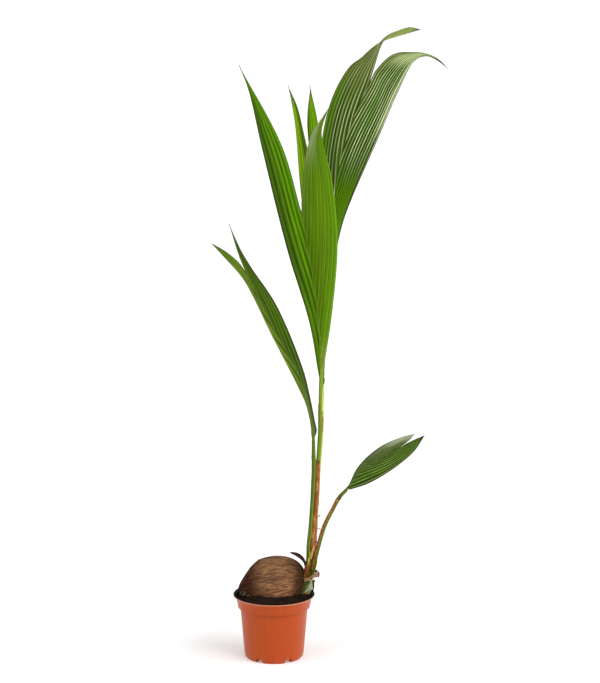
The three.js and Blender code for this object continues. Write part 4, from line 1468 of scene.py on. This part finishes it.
def lobe_rule(leaf, lobe, depth):
    """A rule for one pleated lobe seen from the front: u from left to right, v along each rib.

    The rib at the outer margin starts at the leaf's foot. The others leave the rachis one after
    another as far as the split, where the rib at the inner margin starts.
    """
    rachis = Path([leaf["base"], *leaf["rachis"], leaf["split"]])
    inner = Path([leaf["split"], *lobe["inner"], lobe["tip"]])
    outer = Path([*lobe["outer"], lobe["tip"]])
    split_at = rachis.length / (rachis.length + inner.length)

    def rule(u, v):
        start = np.clip((u - BASE_RIBS) / (1 - BASE_RIBS), 0, 1) * split_at
        station = start + (1 - start) * v
        present = BASE_RIBS + (1 - BASE_RIBS) * np.minimum(1, station / split_at)
        across = (1 - u / present)[..., None]
        below_split = (station < split_at)[..., None]
        on_rachis = rachis.at(np.minimum(1, BLADE_START + (1 - BLADE_START) * station / split_at))
        on_inner = inner.at(np.clip((station - split_at) / (1 - split_at), 0, 1))
        places = (1 - across) * np.where(below_split, on_rachis, on_inner) + across * outer.at(station)
        faces = np.cross(np.gradient(places, axis=1), np.gradient(places, axis=0))
        if faces[..., 1].sum() > 0:
            places, faces = places[:, ::-1], -faces[:, ::-1]
        to_tip = np.gradient(places, axis=0)
        normal = unit(faces)
        normal[-1] = normal[-2]
        steps = np.linalg.norm(faces, axis=-1) / np.maximum(np.linalg.norm(to_tip, axis=-1), 1e-6)
        pitch = steps * SEGMENTS_A_PLEAT
        wave = 1 - 4 * np.abs((u * lobe["pleats"]) % 1 - 0.5)
        fold = wave * np.minimum(depth, lobe.get("relief", PLEAT_SHARE) * pitch) * smoothstep(v, 0, 0.05)
        width = steps.sum(axis=1, keepdims=True)
        crown = lobe["camber"] * width * np.sin(math.pi * u) * smoothstep(v, 0, 0.3)
        return places + (fold + crown)[..., None] * normal

    return rule


def blade_material(name, look, pleats):
    """Living leaf blade: waxy skin over parallel fibres, with ribs where it is folded.

    The wax gives a soft, greenish sheen. No two ribs are equally pale, and none keeps one shade all the
    way to the tip. Painted shade darkens the valleys between the ribs, and some ribs and bands carry
    painted sheen or painted shade.
    """
    material, tree, shader = start_material(name, 0.42, Specular_IOR_Level=0.16, Specular_Tint=WAX_TINT)
    across, along = surface_coordinates(tree)
    height = channels(tree, object_coordinates(tree))[2]
    pleat = times(tree, across, float(pleats))
    fold = maths(tree, "PINGPONG", pleat, 0.5)
    vein = maths(tree, "PINGPONG", times(tree, pleat, 5.0), 0.5)
    vector = combined(tree, times(tree, pleat, 0.01), times(tree, along, 0.5))
    streaks = stretched_noise(tree, vector, (5, 170, 1), detail=3)
    unlike = stretched_noise(tree, vector, (6, 110, 1), detail=1)
    blade, dark = linear(look["blade"]), linear(look["shade"])
    tone = mixed(tree, remap(tree, streaks, 0.32, 0.62), dark, blade)

    def spread(strength, sideways, upwards):
        """How strongly a rib or band shows at a place."""
        rising = remap(tree, height, *(mark * MM for mark in upwards))
        return times(tree, remap(tree, across, *sideways, 0.0, strength), rising)

    # Some bands are painted shade or painted sheen, as the looks say.
    for band, strength, sideways, upwards in look["bands"]:
        tone = mixed(tree, spread(strength, sideways, upwards), tone, linear(band))
    deeper = mixed(tree, 1.0, tone, (0.36, 0.4, 0.36, 1), "MULTIPLY")
    tone = mixed(tree, remap(tree, vein, 0.32, 0.5, 0.0, 0.2), tone, deeper)
    # Painted shade darkens the valleys between the ribs.
    valley = remap(tree, fold, look.get("valley", 0.2), 0.02, 0.0, look["folds"])
    valley = times(tree, valley, remap(tree, unlike, 0.3, 0.6, 0.6, 1.2))
    tone = mixed(tree, valley, tone, deeper)
    # The whitish ribs of the back leaf are partly a painted sheen on the ridges.
    rib, strength, width, sideways, upwards = look["ribs"]
    ridge = remap(tree, fold, 0.5 - width, 0.5 - width / 3)
    ridge = times(tree, ridge, spread(strength, sideways, upwards))
    ridge = times(tree, ridge, remap(tree, unlike, 0.36, 0.6, 0.3, 1.0))
    tone = mixed(tree, ridge, tone, linear(rib))
    tip, begin = look["tip"]
    tone = mixed(tree, remap(tree, along, begin, min(1.0, begin + 0.1)), tone, linear(tip))
    paint(tree, shader, tone)
    bump(tree, shader, maths(tree, "MULTIPLY_ADD", vein, 0.5, remap(tree, fold, 0.42, 0.5)), 0.25)
    return material


def edge_material():
    """The leaf's hard rim, dry and brown in places."""
    material, tree, shader = start_material("leaf_rim", 0.8, Specular_IOR_Level=0.0)
    uneven = stretched_noise(tree, object_coordinates(tree), (12, 12, 40))
    tone = mixed(tree, remap(tree, uneven, 0.35, 0.65), linear("#34490f"), linear("#5c4a2c"))
    paint(tree, shader, tone)
    return material


LEAF_SLOTS = {
    "leaf_front": "leaf_mid", "leaf_back": "leaf_dark", "leaf_inner": "leaf_young",
    "leaf_left": "leaf_old", "leaf_right": "leaf_dark",
}

# How far behind the blade each rachis lies, its colour, and its foot's.
RACHIS_LOOKS = {
    "leaf_front": (0.6, "#5f7826", "#7c9a26"), "leaf_back": (4.5, "#4d6a1c", "#708a1e"),
    "leaf_inner": (3, "#5b7f16", "#708a1e"), "leaf_left": (-0.3, "#8a9a5c", "#4c6214"),
    "leaf_right": (3, "#5c7426", "#586a24"),
}

# The pale reverse of the back leaf.
REVERSE_LOOK = {
    "blade": "#a6b868", "shade": "#8a9b52", "ribs": ("#b4bd80", 0.4, 0.15, ANY, ANY), "folds": 0.4,
    "bands": [("#5b6328", 0.8, (0.9, 0.98), ANY)], "tip": ("#4b4030", 0.96),
}


class PALM_OT_leaves(bpy.types.Operator):
    """Models the five pleated, two-lobed leaves with their ribs"""

    bl_idname = "palm.leaves"
    bl_label = "Leaves"

    def execute(self, context):
        sizes = context.scene.palm_sizes
        rim = edge_material()
        for node, leaf in LEAVES.items():
            for side, lobe, look in zip(("first", "second"), leaf["lobes"], LOBE_LOOKS[node]):
                name = f"{node}_{side}_lobe"
                rule = lobe_rule(leaf, lobe, sizes.pleat_depth / MM)
                piece = bent_grid(name, rule, SEGMENTS_A_PLEAT * lobe["pleats"], ROWS_A_LOBE)
                upper = blade_material(name, look, lobe["pleats"])
                other = REVERSE_LOOK if node == "leaf_back" else look
                under = blade_material(f"{name}_reverse", other, lobe["pleats"])
                give_materials(piece, upper, under, rim)
                apply_modifier(
                    piece, "SOLIDIFY", thickness=sizes.blade_thickness, offset=0,
                    material_offset=1, material_offset_rim=2,
                )
                shade(piece, 25)
                settle(piece, LEAF_SLOTS[node], node)
            setback, rib_hex, foot_hex = RACHIS_LOOKS[node]
            line = np.array([*leaf["stalk"], leaf["base"], *leaf["rachis"], leaf["split"]]) + (0, setback, 0)
            rachis = limb(f"{node}_rachis", line, rachis_size, 16, 80)
            rib, foot = linear(rib_hex), linear(foot_hex)
            material = stalk_material(f"{node}_rachis", rib, foot, shade_of(rib, 1.5), 0.05, 0.45)
            finish(rachis, material, 50, LEAF_SLOTS[node])
        ends = strands("dry_tips", dry_tips(), 0.9, sides=6)
        finish(ends, fibre_material("dry_tips", "#7d7470"), None, "leaf_old")
        return {"FINISHED"}


def dry_tips():
    """Paths of the dead threads that some lobes end in, beyond their tips."""
    paths = []
    for leaf in LEAVES.values():
        for lobe in leaf["lobes"]:
            tip = np.array(lobe["tip"], float)
            onward = lobe.get("thread", 0) * unit(tip - np.array(lobe["outer"][-1], float))
            if onward.any():
                paths.append(Path([tip + share * onward for share in (-1, 0, 0.5, 1)]))
    return paths


def rachis_size(share, angle):
    """Half width and half depth of a rachis, which thins towards the split."""
    return 5 - 4.1 * np.sqrt(share) + 0 * angle, 2.9 - 1.7 * share + 0 * angle


# ------------------------------------------------------------------ add-on

OPERATORS = (
    PALM_OT_camera, PALM_OT_stage, PALM_OT_pot, PALM_OT_compost, PALM_OT_nut, PALM_OT_shoot,
    PALM_OT_stalks, PALM_OT_sheaths, PALM_OT_leaves,
)


class PALM_PT_parts(bpy.types.Panel):
    """Lists the seedling's settings and the operators that build it"""

    bl_idname = "PALM_PT_parts"
    bl_label = "Potted palm"
    bl_space_type = "VIEW_3D"
    bl_region_type = "UI"
    bl_category = "Palm"

    def draw(self, context):
        for group in (context.scene.palm_sizes, context.scene.palm_colours):
            box = self.layout.box()
            for name in group.__annotations__:
                box.prop(group, name)
        for operator in OPERATORS:
            self.layout.operator(operator.bl_idname)


CLASSES = (PalmSizes, PalmColours, *OPERATORS, PALM_PT_parts)


def register():
    for cls in CLASSES:
        bpy.utils.register_class(cls)
    bpy.types.Scene.palm_sizes = bpy.props.PointerProperty(type=PalmSizes)
    bpy.types.Scene.palm_colours = bpy.props.PointerProperty(type=PalmColours)


def unregister():
    del bpy.types.Scene.palm_colours
    del bpy.types.Scene.palm_sizes
    for cls in reversed(CLASSES):
        bpy.utils.unregister_class(cls)


def main():
    """Builds the whole scene."""
    register()
    for operator in OPERATORS:
        group, name = operator.bl_idname.split(".")
        getattr(getattr(bpy.ops, group), name)()


if __name__ == "__main__":
    main()
